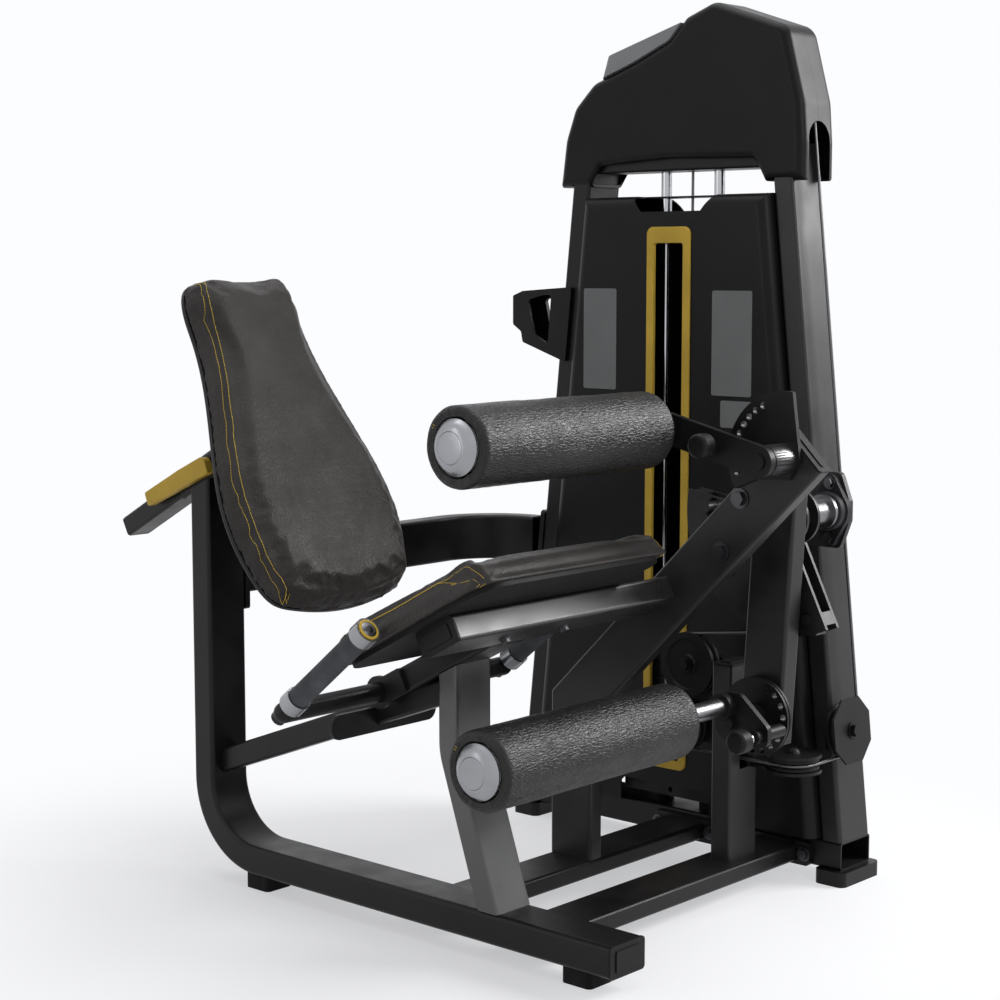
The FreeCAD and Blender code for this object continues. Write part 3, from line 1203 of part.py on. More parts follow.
def roller_shaft(y, z, pad_far, far_x):
    """Shaft of a roller with a plate at each end of the pad, which turns on it."""
    near = ROLLER_NEAR_X + ROLLER_CAP_RECESS
    cap = rod_x(near, near + ROLLER_CAP_THICKNESS, y, z, ROLLER_CAP_RADIUS)
    cap = fillet_where(cap, 2.5, lambda e, m: m.x < near + 1)
    shaft = rod_x(near + 1, far_x, y, z, ROLLER_SHAFT_RADIUS)
    stop_x = pad_far + RUN_GAP
    stop = rod_x(stop_x, stop_x + ROLLER_CAP_THICKNESS, y, z, ROLLER_CAP_RADIUS)
    return fuse([shaft, cap, stop])


def roller_pad(y, z, pad_far):
    """Foam roller with a bore for its shaft and a pocket for the near cap."""
    pad = rod_x(ROLLER_NEAR_X, pad_far, y, z, ROLLER_RADIUS)
    pad = fillet_where(pad, ROLLER_END_ROUNDING, lambda e, m: e.Length > 100 and abs(m.x) > 150)
    pocket_end = ROLLER_NEAR_X + ROLLER_CAP_RECESS + ROLLER_CAP_THICKNESS + RUN_GAP
    pocket = rod_x(ROLLER_NEAR_X - 5, pocket_end, y, z, ROLLER_CAP_RADIUS + RUN_GAP)
    bore = rod_x(ROLLER_NEAR_X - 5, pad_far + 5, y, z, ROLLER_SHAFT_RADIUS + TURN_GAP)
    return pad.cut(pocket).cut(bore)


# ---------------------------------------------------------------- thigh roller
SECTOR_FAR_X = BEAM_POST_X - BEAM_POST_WIDTH / 2
SECTOR_X = SECTOR_FAR_X - SECTOR_THICKNESS
THIGH_ANGLE = math.degrees(math.atan2(THIGH_Z - THIGH_PIVOT_Z, THIGH_Y - THIGH_PIVOT_Y))
THIGH_REACH = math.hypot(THIGH_Y - THIGH_PIVOT_Y, THIGH_Z - THIGH_PIVOT_Z)
THIGH_ARM_FAR_X = THIGH_ARM_X + THIGH_ARM_THICKNESS


def sector_plate():
    """Index sector welded on the sloping beam, with a hole for each setting."""
    plate = rod_x(SECTOR_X, SECTOR_FAR_X, THIGH_PIVOT_Y, THIGH_PIVOT_Z, SECTOR_RADIUS)
    keep = [polar(THIGH_PIVOT_Y, THIGH_PIVOT_Z, 30, 180), (THIGH_PIVOT_Y - 25, THIGH_PIVOT_Z + 30),
            (THIGH_PIVOT_Y - 10, THIGH_PIVOT_Z + 140), (THIGH_PIVOT_Y + 140, THIGH_PIVOT_Z + 140),
            polar(THIGH_PIVOT_Y, THIGH_PIVOT_Z, 160, -27), polar(THIGH_PIVOT_Y, THIGH_PIVOT_Z, 60, -35),
            (THIGH_PIVOT_Y - 10, THIGH_PIVOT_Z - 32)]
    plate = plate.common(prism_x(SECTOR_X, SECTOR_FAR_X, keep))
    pin = THIGH_ANGLE
    for k in range(-3, SECTOR_HOLES_ABOVE + 1):
        y, z = polar(THIGH_PIVOT_Y, THIGH_PIVOT_Z, SECTOR_HOLE_CIRCLE, pin + SECTOR_HOLE_STEP * k)
        plate = plate.cut(rod_x(SECTOR_X - 1, SECTOR_FAR_X + 1, y, z, PULL_PIN_RADIUS + RUN_GAP))
    stud = rod_x(THIGH_ARM_FAR_X + RUN_GAP + 2, SECTOR_X + 1, THIGH_PIVOT_Y, THIGH_PIVOT_Z, 24)
    axle = rod_x(THIGH_ARM_X - 4, SECTOR_X + 1, THIGH_PIVOT_Y, THIGH_PIVOT_Z, PIVOT_RADIUS)
    return fuse([plate, stud, axle])


def thigh_arm():
    """Flat arm with round ends that carries the thigh roller's shaft."""
    x0, x1 = THIGH_ARM_X, THIGH_ARM_FAR_X
    half = THIGH_ARM_WIDTH / 2
    along_arm = Vector(0, THIGH_Y - THIGH_PIVOT_Y, THIGH_Z - THIGH_PIVOT_Z).normalize()
    normal = X_AXIS.cross(along_arm)
    middle = Vector(x0, (THIGH_Y + THIGH_PIVOT_Y) / 2, (THIGH_Z + THIGH_PIVOT_Z) / 2)
    bar = solid_face(middle, along_arm, normal, THIGH_REACH, THIGH_ARM_WIDTH, 0.5)
    bar = bar.extrude(Vector(x1 - x0, 0, 0))
    ends = [rod_x(x0, x1, THIGH_PIVOT_Y, THIGH_PIVOT_Z, half), rod_x(x0, x1, THIGH_Y, THIGH_Z, half)]
    boss = rod_x(x0 - 12, x0 + 1, THIGH_Y, THIGH_Z, BOSS_RADIUS)
    pin_y, pin_z = polar(THIGH_PIVOT_Y, THIGH_PIVOT_Z, SECTOR_HOLE_CIRCLE, THIGH_ANGLE)
    guide = rod_x(x1 - 1, SECTOR_X - 4, pin_y, pin_z, PIN_GUIDE_RADIUS)
    arm = fuse([bar, boss, guide] + ends)
    arm = arm.cut(rod_x(x0 - 20, SECTOR_X, pin_y, pin_z, PULL_PIN_RADIUS + RUN_GAP))
    arm = arm.cut(rod_x(x0 - 20, x1 + 1, THIGH_Y, THIGH_Z, ROLLER_SHAFT_RADIUS + SEAT_GAP))
    return arm.cut(rod_x(x0 - 5, x1 + 5, THIGH_PIVOT_Y, THIGH_PIVOT_Z, PIVOT_RADIUS + TURN_GAP))


def thigh_pull_pin():
    y, z = polar(THIGH_PIVOT_Y, THIGH_PIVOT_Z, SECTOR_HOLE_CIRCLE, THIGH_ANGLE)
    return pull_pin(y, z, THIGH_ARM_X - 40, SECTOR_X - PIN_DRAWN_GAP, THIGH_ARM_X)


# ---------------------------------------------------------------- seat
def seat_profile(corners, x0, x1):
    """A solid along x from rounded corners given in the seat's own axes."""
    flat = []
    for back, up, radius in corners:
        p = on_seat(0, back, up)
        flat.append(((p.y, p.z), radius))
    return Part.Face(rounded_outline(flat, x0)).extrude(Vector(x1 - x0, 0, 0))


def seat_plan(grow, low, high):
    """The seat's rounded plan as a block between two heights above the crossbar."""
    centre = on_seat(0, (SEAT_REAR - SEAT_FRONT) / 2, low)
    face = solid_face(centre, X_AXIS, SEAT_BACKWARD, 2 * (SEAT_HALF_WIDTH + grow),
                      SEAT_REAR + SEAT_FRONT + 2 * grow, SEAT_CORNER)
    return face.extrude(SEAT_UPWARD * (high - low))


SEAT_BOARD_LOW = CROSSBAR_THICKNESS / 2
SEAT_PAD_LOW = SEAT_BOARD_LOW + SEAT_BOARD_THICKNESS


def seat_board():
    return seat_plan(-14, SEAT_BOARD_LOW, SEAT_PAD_LOW - SEAT_GAP)


def seat_pad():
    top = SEAT_PAD_LOW + SEAT_PAD_THICKNESS
    low = SEAT_PAD_LOW
    corners = [(-SEAT_FRONT + 7, low - 8, 4), (-SEAT_FRONT, low + 20, 26), (-SEAT_FRONT + 14, top, 34),
               (SEAT_REAR - 40, top, 60), (SEAT_REAR, low + 14, 16), (SEAT_REAR - 4, low, 6),
               (-SEAT_FRONT + 11, low, 2)]
    body = seat_profile(corners, -SEAT_HALF_WIDTH, SEAT_HALF_WIDTH)
    body = body.common(seat_plan(0, low - 20, top + 10))
    return body


# ---------------------------------------------------------------- handles
def handle_frame():
    """Bar through the seat rail's eyes with a rising tube at each end."""
    centre = on_seat(0, HANDLE_ALONG, 0)
    bar = rod_x(-GRIP_X, GRIP_X, centre.y, centre.z, HANDLE_BAR_RADIUS)
    tilt = math.radians(GRIP_TILT)
    reach = Vector(0, -math.cos(tilt), math.sin(tilt))
    parts = [bar]
    for side in (-1, 1):
        foot = Vector(side * GRIP_X, centre.y, centre.z)
        start = foot - reach * 18
        rise = Part.makeCylinder(HANDLE_BAR_RADIUS - 4, GRIP_LENGTH + 24, start, reach)
        knuckle = Part.makeSphere(HANDLE_BAR_RADIUS, foot)
        parts.extend([rise, knuckle])
    return fuse(parts)


def grip_part(side, start, end, outer):
    """A ring or tube round a handle, between two distances from the bar."""
    centre = on_seat(0, HANDLE_ALONG, 0)
    tilt = math.radians(GRIP_TILT)
    reach = Vector(0, -math.cos(tilt), math.sin(tilt))
    foot = Vector(side * GRIP_X, centre.y, centre.z) + reach * start
    ring = Part.makeCylinder(outer, end - start, foot, reach)
    bore = Part.makeCylinder(HANDLE_BAR_RADIUS - 4 + SEAT_GAP, end - start + 2,
                             foot - reach, reach)
    return ring.cut(bore)


def grips():
    return Part.makeCompound([grip_part(side, 44, GRIP_LENGTH - 16, GRIP_RADIUS)
                              for side in (-1, 1)])


def grip_collars():
    rings = []
    for side in (-1, 1):
        rings.append(grip_part(side, 20, 44 - SEAT_GAP, GRIP_RADIUS + 3))
        rings.append(grip_part(side, GRIP_LENGTH - 16 + SEAT_GAP, GRIP_LENGTH + 6,
                               GRIP_RADIUS + 3))
    return rings


# ---------------------------------------------------------------- back rest
# Half width of the pad at distances up its front face.
BACK_HALF_WIDTHS = ((284, 62), (277, 92), (250, 108), (180, 114), (65, 132), (-45, 162),
                    (-110, 175), (-175, 176), (-235, 164), (-284, 136), (-297, 104))


def back_outline(front, inset=0.0):
    """The pad's outline as a smooth closed curve on a plane of the pad."""
    right = [on_back(half - inset, up * (1 - inset / 290), front)
             for up, half in BACK_HALF_WIDTHS]
    left = [on_back(-half + inset, up * (1 - inset / 290), front)
            for up, half in reversed(BACK_HALF_WIDTHS)]
    curve = Part.BSplineCurve()
    curve.interpolate(right + left, True)
    return Part.Face(Part.Wire([curve.toShape()]))


def back_pad():
    rear = back_outline(-BACK_PAD_THICKNESS)
    pad = rear.extrude(SEAT_BACKWARD * -BACK_PAD_THICKNESS)
    face_origin = on_back(0, 0, 0)

    def front_edge(edge, middle):
        return abs((middle - face_origin).dot(SEAT_BACKWARD)) < 0.5

    return fillet_where(pad, BACK_PAD_ROUNDING, front_edge)


def back_shell():
    start = BACK_PAD_THICKNESS + SEAT_GAP
    rear = back_outline(-start - BACK_SHELL_THICKNESS, BACK_SHELL_INSET)
    shell = rear.extrude(SEAT_BACKWARD * -BACK_SHELL_THICKNESS)
    face_origin = on_back(0, 0, -start - BACK_SHELL_THICKNESS)

    def rear_edge(edge, middle):
        return abs((middle - face_origin).dot(SEAT_BACKWARD)) < 0.5

    return fillet_where(shell, 5, rear_edge)


SHELL_REAR = BACK_PAD_THICKNESS + SEAT_GAP + BACK_SHELL_THICKNESS


def slide_tube():
    """Tube behind the back rest with the plate that carries the shell."""
    plate_thickness = 6.0
    start = on_back(0, SLIDE_ALONG, -SHELL_REAR - plate_thickness)
    end = on_back(0, SLIDE_ALONG, -SLIDE_REAR)
    bar = tube(tuple(start), tuple(end), (1, 0, 0), SLIDE_WIDTH, SLIDE_HEIGHT, 5)
    plate = solid_face(on_back(0, SLIDE_ALONG - 20, -SHELL_REAR - SEAT_GAP), X_AXIS, SEAT_UPWARD,
                       120, 180, 12).extrude(SEAT_BACKWARD * plate_thickness)
    web = []
    web_reach = SLEEVE_MIDDLE - SLEEVE_LENGTH / 2 - SLIDE_TRAVEL - SHELL_REAR - 2
    for side in (-1, 1):
        corners = [(SLIDE_ALONG - SLIDE_HEIGHT / 2, -SHELL_REAR - 3),
                   (SLIDE_ALONG - SLIDE_HEIGHT / 2, -SHELL_REAR - web_reach),
                   (SLIDE_ALONG - 90, -SHELL_REAR - 3)]
        points = [on_back(side * 22, up, front) for up, front in corners]
        face = Part.Face(Part.makePolygon(points + points[:1]))
        web.append(face.extrude(Vector(-side * 4, 0, 0)))
    return fuse([bar, plate] + web)


def slide_sleeve():
    """Sleeve on the column in which the slide tube runs, with the lever's lugs."""
    gap = RUN_GAP
    width = SLIDE_WIDTH + 2 * (gap + SLEEVE_WALL)
    height = SLIDE_HEIGHT + 2 * (gap + SLEEVE_WALL)
    start = on_back(0, SLIDE_ALONG, -SLEEVE_MIDDLE + SLEEVE_LENGTH / 2)
    end = on_back(0, SLIDE_ALONG, -SLEEVE_MIDDLE - SLEEVE_LENGTH / 2)
    sleeve = tube(tuple(start), tuple(end), (1, 0, 0), width, height, 8, SLEEVE_WALL)
    low = SLIDE_ALONG - height / 2
    seat = on_back(0, low, -SLEEVE_MIDDLE)
    pad = solid_face(seat, X_AXIS, SEAT_BACKWARD, width, SLEEVE_PAD_LENGTH, 6)
    pad = pad.extrude(SEAT_UPWARD * 6)
    axis = lever_pivot()
    pin_end = lever_middle_x() - LEVER_THICKNESS / 2 + LEVER_SKIN + SEAT_GAP
    pivot = rod_x(pin_end, -width / 2 + 1, axis.y, axis.z, LEVER_PIN_RADIUS)
    body = fuse([sleeve, pad, pivot])
    inner = solid_face(start + SEAT_BACKWARD * -5, X_AXIS, SEAT_UPWARD, SLIDE_WIDTH + 2 * gap,
                       SLIDE_HEIGHT + 2 * gap, 5)
    return body.cut(inner.extrude(SEAT_BACKWARD * (SLEEVE_LENGTH + 20)))


def lever_middle_x():
    outer = SLIDE_WIDTH / 2 + RUN_GAP + SLEEVE_WALL
    return -outer - 2 - LEVER_THICKNESS / 2


def release_lever():
    """Yellow lever beside the sleeve that frees the back rest, a tapered handle."""
    x = lever_middle_x()
    pivot = lever_pivot()
    outline = []
    for (back, up), radius in LEVER_OUTLINE:
        point = pivot + SEAT_BACKWARD * back + SEAT_UPWARD * up
        outline.append(((point.y, point.z), radius))
    near = x - LEVER_THICKNESS / 2
    bar = Part.Face(rounded_outline(outline, near)).extrude(Vector(LEVER_THICKNESS, 0, 0))
    bar = fillet_where(bar, 1.5, lambda e, m: abs(m.x - near) < 0.1)
    bar.rotate(pivot, X_AXIS, LEVER_RISE)
    bore = rod_x(near + LEVER_SKIN, near + 30, pivot.y, pivot.z, LEVER_PIN_RADIUS + TURN_GAP)
    return bar.cut(bore)


def lever_pivot():
    return on_back(0, SLIDE_ALONG, LEVER_PIVOT_AHEAD - SLEEVE_MIDDLE)


# ---------------------------------------------------------------- pulleys and cable
FRONT_PULLEY_RADIUS = 46.0
SMALL_WIDTH = 18.0
PULLEY_SIDE_GAP = 1.5
LYING_PLATE_THICKNESS = 5.0
CHEEK_THICKNESS = 8.0
COVER_HALF_WIDTH = 55.0
COVER_CORNER = 30.0
COVER_THICKNESS = 4.0
LEAN_RAD = math.radians(UPRIGHT_LEAN)
FRONT_GROOVE = FRONT_PULLEY_RADIUS - PULLEY_GROOVE
SMALL_GROOVE = SMALL_PULLEY_RADIUS - PULLEY_GROOVE
BIG_GROOVE = BIG_PULLEY_RADIUS - PULLEY_GROOVE
FRONT_PULLEY_UP = (LYING_PULLEY_Z - FRONT_PULLEY_OFFSET * math.sin(LEAN_RAD)) / math.cos(LEAN_RAD)
FRONT_PULLEY_UP += FRONT_GROOVE


def leaned(x, ahead, up):
    """A point ahead of the front upright's face, measured along its slope."""
    y = TOWER_Y - UPRIGHT_HALF_SPAN - ahead * math.cos(LEAN_RAD) + up * math.sin(LEAN_RAD)
    return Vector(x, y, ahead * math.sin(LEAN_RAD) + up * math.cos(LEAN_RAD))


FRONT_PULLEY_X = TOWER_X - FRONT_GROOVE
FRONT_PULLEY_CENTRE = leaned(FRONT_PULLEY_X, FRONT_PULLEY_OFFSET, FRONT_PULLEY_UP)
CABLE_LOW = leaned(FRONT_PULLEY_X, FRONT_PULLEY_OFFSET, FRONT_PULLEY_UP - FRONT_GROOVE)
LYING_CENTRE = Vector(CABLE_X + SMALL_GROOVE, CABLE_LOW.y + SMALL_GROOVE, LYING_PULLEY_Z)
LOWER_CENTRE = Vector(CABLE_X, BIG_PULLEY_Y + BIG_GROOVE - SMALL_GROOVE,
                      LYING_PULLEY_Z + SMALL_GROOVE)
BIG_CENTRE = Vector(CABLE_X, BIG_PULLEY_Y, BIG_PULLEY_Z)


def pulley(centre, axis, radius, width, holes=5):
    """A grooved wheel with a hub and a recessed web, turned about its axis."""
    half = width / 2
    groove = radius - PULLEY_GROOVE
    hub = AXLE_RADIUS + 7
    bore = AXLE_RADIUS + TURN_GAP
    rim = groove - 7
    web = half - 4
    seat = CABLE_RADIUS + SEAT_GAP
    profile = [(bore, -half), (hub, -half), (hub + 3, -web), (rim - 3, -web), (rim, -half),
               (radius, -half), (radius, -seat - 2), (groove, -seat)]
    upper = [(r, -z) for r, z in reversed(profile)]
    points = [Vector(r, 0, z) for r, z in profile + upper]
    arc = Part.Arc(points[7], Vector(groove - seat, 0, 0), points[8])
    edges = []
    for k in range(len(points)):
        following = points[(k + 1) % len(points)]
        if k == 7:
            edges.append(arc.toShape())
        else:
            edges.append(Part.LineSegment(points[k], following).toShape())
    wheel = Part.Face(Part.Wire(edges)).revolve(Vector(0, 0, 0), Z_AXIS, 360)
    for k in range(holes):
        angle = math.tau * k / holes
        middle = (hub + rim) / 2
        hole = Part.makeCylinder((rim - hub) / 4, width + 4,
                                 Vector(middle * math.cos(angle), middle * math.sin(angle), -half - 2))
        wheel = wheel.cut(hole)
    turn = FreeCAD.Rotation(Z_AXIS, Vector(*axis))
    wheel.Placement = FreeCAD.Placement(Vector(*centre), turn)
    return wheel


def front_axis():
    return (0, -math.cos(LEAN_RAD), math.sin(LEAN_RAD))


def all_pulleys():
    front_y, front_z = front_top_pulley()
    rear_y, rear_z = rear_top_pulley()
    piece("top_pulley_front", pulley((TOWER_X, front_y, front_z), (1, 0, 0), TOP_PULLEY_RADIUS,
                                     SMALL_WIDTH))
    piece("top_pulley_rear", pulley((TOWER_X, rear_y, rear_z), (1, 0, 0), TOP_PULLEY_RADIUS,
                                    SMALL_WIDTH))
    piece("front_pulley", pulley(FRONT_PULLEY_CENTRE, front_axis(), FRONT_PULLEY_RADIUS,
                                 SMALL_WIDTH))
    piece("lying_pulley", pulley(LYING_CENTRE, (0, 0, 1), SMALL_PULLEY_RADIUS, SMALL_WIDTH))
    piece("lower_pulley", pulley(LOWER_CENTRE, (1, 0, 0), SMALL_PULLEY_RADIUS, SMALL_WIDTH))
    piece("big_pulley", pulley(BIG_CENTRE, (1, 0, 0), BIG_PULLEY_RADIUS, PULLEY_WIDTH, 0))


def pulley_brackets():
    """Carriers of the pulleys at the short post, with their axles."""
    parts = []
    gap = PULLEY_SIDE_GAP
    post_front = SHORT_POST_Y - SHORT_POST_DEPTH / 2
    post_rear = SHORT_POST_Y + SHORT_POST_DEPTH / 2
    far = SHORT_POST_X + SHORT_POST_WIDTH / 2
    for side in (-1, 1):
        thick = LYING_PLATE_THICKNESS
        low = LYING_PULLEY_Z + side * (SMALL_WIDTH / 2 + gap + thick / 2) - thick / 2
        plate = box((CABLE_X + 14, far), (LYING_CENTRE.y, post_front), (low, low + thick))
        foot = Vector(LYING_CENTRE.x, LYING_CENTRE.y, low)
        pad = Part.makeCylinder(SMALL_PULLEY_RADIUS + 4, thick, foot)
        parts.append(plate.fuse(pad))
    half = SMALL_WIDTH / 2 + gap
    axle = rod((LYING_CENTRE.x, LYING_CENTRE.y, LYING_PULLEY_Z - half - 1),
               (LYING_CENTRE.x, LYING_CENTRE.y, LYING_PULLEY_Z + half + 1), AXLE_RADIUS)
    dome = Part.makeSphere(13, Vector(LYING_CENTRE.x, LYING_CENTRE.y, LYING_PULLEY_Z + half + 1))
    dome = dome.common(box((0, 900), (-300, 300), (LYING_PULLEY_Z + half + 4, 400)))
    lying = fuse(parts + [axle, dome])
    x0 = CABLE_X + PULLEY_WIDTH / 2 + gap
    x1 = x0 + CHEEK_THICKNESS
    outline = (((post_rear, BIG_PULLEY_Z + 8), 4), ((post_rear + 40, BIG_PULLEY_Z + 24), 10),
               ((BIG_CENTRE.y + 20, BIG_CENTRE.z + 22), 18), ((BIG_CENTRE.y + 26, BIG_CENTRE.z - 26), 18),
               ((LOWER_CENTRE.y + 24, LOWER_CENTRE.z + 10), 18),
               ((LOWER_CENTRE.y + 14, LOWER_CENTRE.z - 24), 18),
               ((post_rear, LOWER_CENTRE.z - 30), 4))
    cheek = Part.Face(rounded_outline(outline, x0)).extrude(Vector(CHEEK_THICKNESS, 0, 0))
    axles = []
    for centre, width in ((BIG_CENTRE, PULLEY_WIDTH), (LOWER_CENTRE, SMALL_WIDTH)):
        near = CABLE_X - width / 2 - gap
        axles.append(rod_x(near, x1, centre.y, centre.z, AXLE_RADIUS))
        axles.append(rod_x(CABLE_X + width / 2 + gap / 2, x0 + 1, centre.y, centre.z, 13))
        axles.append(hex_bolt((near, centre.y, centre.z), (-1, 0, 0), 10, 7))
    return [lying, fuse([cheek] + axles)]


def front_pulley_bracket():
    """Eight-sided cover plate with its axle and spacers on the front upright."""
    ahead = FRONT_PULLEY_OFFSET + SMALL_WIDTH / 2 + 2
    x, z = FRONT_PULLEY_X, FRONT_PULLEY_UP
    half, cut = COVER_HALF_WIDTH, COVER_CORNER
    corners = []
    for px, pz in ((half, half - cut), (half - cut, half), (cut - half, half), (-half, half - cut),
                   (-half, cut - half), (cut - half, -half), (half - cut, -half), (half, cut - half)):
        corners.append(Vector(x + px, -ahead, z + pz))
    cover = Part.Face(Part.makePolygon(corners + corners[:1])).extrude(Vector(0, -COVER_THICKNESS, 0))
    axle = rod((x, -ahead - 2, z), (x, -12, z), AXLE_RADIUS)
    mid_collar = rod((x, -FRONT_PULLEY_OFFSET + SMALL_WIDTH / 2 + 1, z), (x, -12, z), 14)
    mount = box((x - 30, TOWER_X + 30), (-12, -SEAT_GAP), (z - 30, z + 30))
    mount = mount.common(box((0, 2000), (-50, 0), (0, 600)))
    spacer = rod((x + 44, -ahead, z - 27), (x + 44, -6, z - 27), 5)
    bolt = hex_bolt((x, -ahead - COVER_THICKNESS, z), (0, -1, 0), 11, 8)
    return lean_front(fuse([cover, axle, mid_collar, mount, bolt, spacer]))


def tangent_angle():
    """Slope of the cable's run from the big pulley up to the cam."""
    dy = BIG_CENTRE.y - KNEE_Y
    dz = KNEE_Z - BIG_CENTRE.z
    span = math.hypot(dy, dz)
    return math.acos((BIG_GROOVE + CAM_RADIUS) / span) - math.atan2(dy, dz)


def arc(centre, axis_u, axis_v, radius, start, end):
    """An arc about a centre from start to end degrees, measured from u to v."""
    points = []
    for angle in (start, (start + end) / 2, end):
        turn = math.radians(angle)
        points.append(Vector(*centre) + Vector(*axis_u) * (radius * math.cos(turn))
                      + Vector(*axis_v) * (radius * math.sin(turn)))
    return Part.Arc(*points)


def cable_tube(name, arcs, start=None, end=None):
    """A cable along straight runs and arcs, checked against its own length."""
    edges = []
    here = Vector(*start) if start else None
    for bend in arcs:
        if here is not None and (bend.StartPoint - here).Length > 1e-6:
            edges.append(Part.LineSegment(here, bend.StartPoint).toShape())
        edges.append(bend.toShape())
        here = bend.EndPoint
        print(name, "bend radius", round(bend.toShape().Curve.Radius, 2))
    if end:
        edges.append(Part.LineSegment(here, Vector(*end)).toShape())
    wire = Part.Wire(edges)
    first = wire.Edges[0]
    heading = first.tangentAt(first.FirstParameter)
    section = Part.Wire([Part.Circle(first.valueAt(first.FirstParameter), heading,
                                     CABLE_RADIUS).toShape()])
    shape = wire.makePipeShell([section], True, True)
    expected = math.pi * CABLE_RADIUS ** 2 * wire.Length
    print(name, "length", round(wire.Length, 1), "volume ratio", round(shape.Volume / expected, 4))
    return shape


Y_UP = ((0, 1, 0), (0, 0, 1))


def drive_cable():
    """From above the stack over the top pulleys, down, and round to the cam."""
    lean = UPRIGHT_LEAN
    front_y, front_z = front_top_pulley()
    rear_y, rear_z = rear_top_pulley()
    slope = math.degrees(tangent_angle())
    up_front = (0, math.sin(LEAN_RAD), math.cos(LEAN_RAD))
    bends = [arc((TOWER_X, rear_y, rear_z), *Y_UP, top_groove(), 0, 90),
             arc((TOWER_X, front_y, front_z), *Y_UP, top_groove(), 90, 180 - lean),
             arc(FRONT_PULLEY_CENTRE, (1, 0, 0), up_front, FRONT_GROOVE, 0, -90),
             arc(LYING_CENTRE, (1, 0, 0), (0, 1, 0), SMALL_GROOVE, 270, 180),
             arc(LOWER_CENTRE, *Y_UP, SMALL_GROOVE, -90, 0),
             arc(BIG_CENTRE, *Y_UP, BIG_GROOVE, 0, 90 - slope)]
    touch = polar(KNEE_Y, KNEE_Z, CAM_RADIUS, -90 - slope)
    return cable_tube("drive_cable", bends, (TOWER_X, TOWER_Y, STACK_CABLE_TOP),
                      (CABLE_X, touch[0], touch[1]))


def cam_cable():
    """The length that lies on the cam's rim at rest, up to its anchor."""
    slope = math.degrees(tangent_angle())
    bend = arc((CABLE_X, KNEE_Y, KNEE_Z), *Y_UP, CAM_RADIUS, -90 - slope - 0.12,
               -90 - CAM_FRONT_ANGLE + 2)
    return cable_tube("cam_cable", [bend])


def cam_anchor():
    """Barrel between the cam's plates that holds the cable's end."""
    y, z = polar(KNEE_Y, KNEE_Z, CAM_RADIUS, -90 - CAM_FRONT_ANGLE - 0.6)
    return rod_x(CABLE_X - CAM_HALF_GAP - 1, CABLE_X + CAM_HALF_GAP + 1, y, z, 8)


def stack_cable():
    bottom = plate_z(PLATE_COUNT - 1) + PLATE_THICKNESS + 16
    return rod((TOWER_X, TOWER_Y, bottom), (TOWER_X, TOWER_Y, STACK_CABLE_TOP - 0.2), CABLE_RADIUS)


# ---------------------------------------------------------------- caps and fasteners
def tube_cap(face_centre, outward, side_axis, up_axis, width, height, lip=CAP_LIP):
    """A plastic plug: a lip over the tube's end and a stub inside it."""
    foot = face_centre + outward * SEAT_GAP
    cap = solid_face(foot, side_axis, up_axis, width, height, 6).extrude(outward * lip)
    stub = solid_face(foot, side_axis, up_axis, width - 2 * TUBE_WALL - 1,
                      height - 2 * TUBE_WALL - 1, CAP_STUB_CORNER)
    raised = solid_face(foot + outward * lip, side_axis, up_axis, width - 24, height - 18, 3)
    return fuse([cap, stub.extrude(outward * -14), raised.extrude(outward * 2)])


def frame_caps():
    caps = [tube_cap(Vector(0, FOOT_BEAM_FRONT_Y, BEAM_Z), Vector(0, -1, 0), X_AXIS, Z_AXIS,
                     MAIN_TUBE_WIDTH, MAIN_TUBE_DEPTH),
            tube_cap(on_seat(CROSSBAR_NEAR_X, 0, 0), Vector(-1, 0, 0), SEAT_BACKWARD, SEAT_UPWARD,
                     CROSSBAR_WIDTH, CROSSBAR_THICKNESS),
            tube_cap(Vector(SHORT_POST_X, SHORT_POST_Y, SHORT_POST_TOP_Z), Vector(0, 0, 1),
                     X_AXIS, Vector(0, 1, 0), SHORT_POST_WIDTH, SHORT_POST_DEPTH)]
    tip = beam_tip()
    outward = Vector(0, -math.sqrt(0.5), math.sqrt(0.5))
    across = Vector(0, math.sqrt(0.5), math.sqrt(0.5))
    caps.append(tube_cap(tip, outward, X_AXIS, across, BEAM_POST_WIDTH, BEAM_POST_DEPTH))
    return Part.makeCompound(caps)


def beam_tip():
    run = BEAM_LENGTH * math.sqrt(0.5)
    return Vector(BEAM_POST_X, REAR_RAIL_Y - run, BEAM_MITRE_Z + run)


def slide_cap():
    return tube_cap(on_back(0, SLIDE_ALONG, -SLIDE_REAR), SEAT_BACKWARD, X_AXIS, SEAT_UPWARD,
                    SLIDE_WIDTH, SLIDE_HEIGHT)


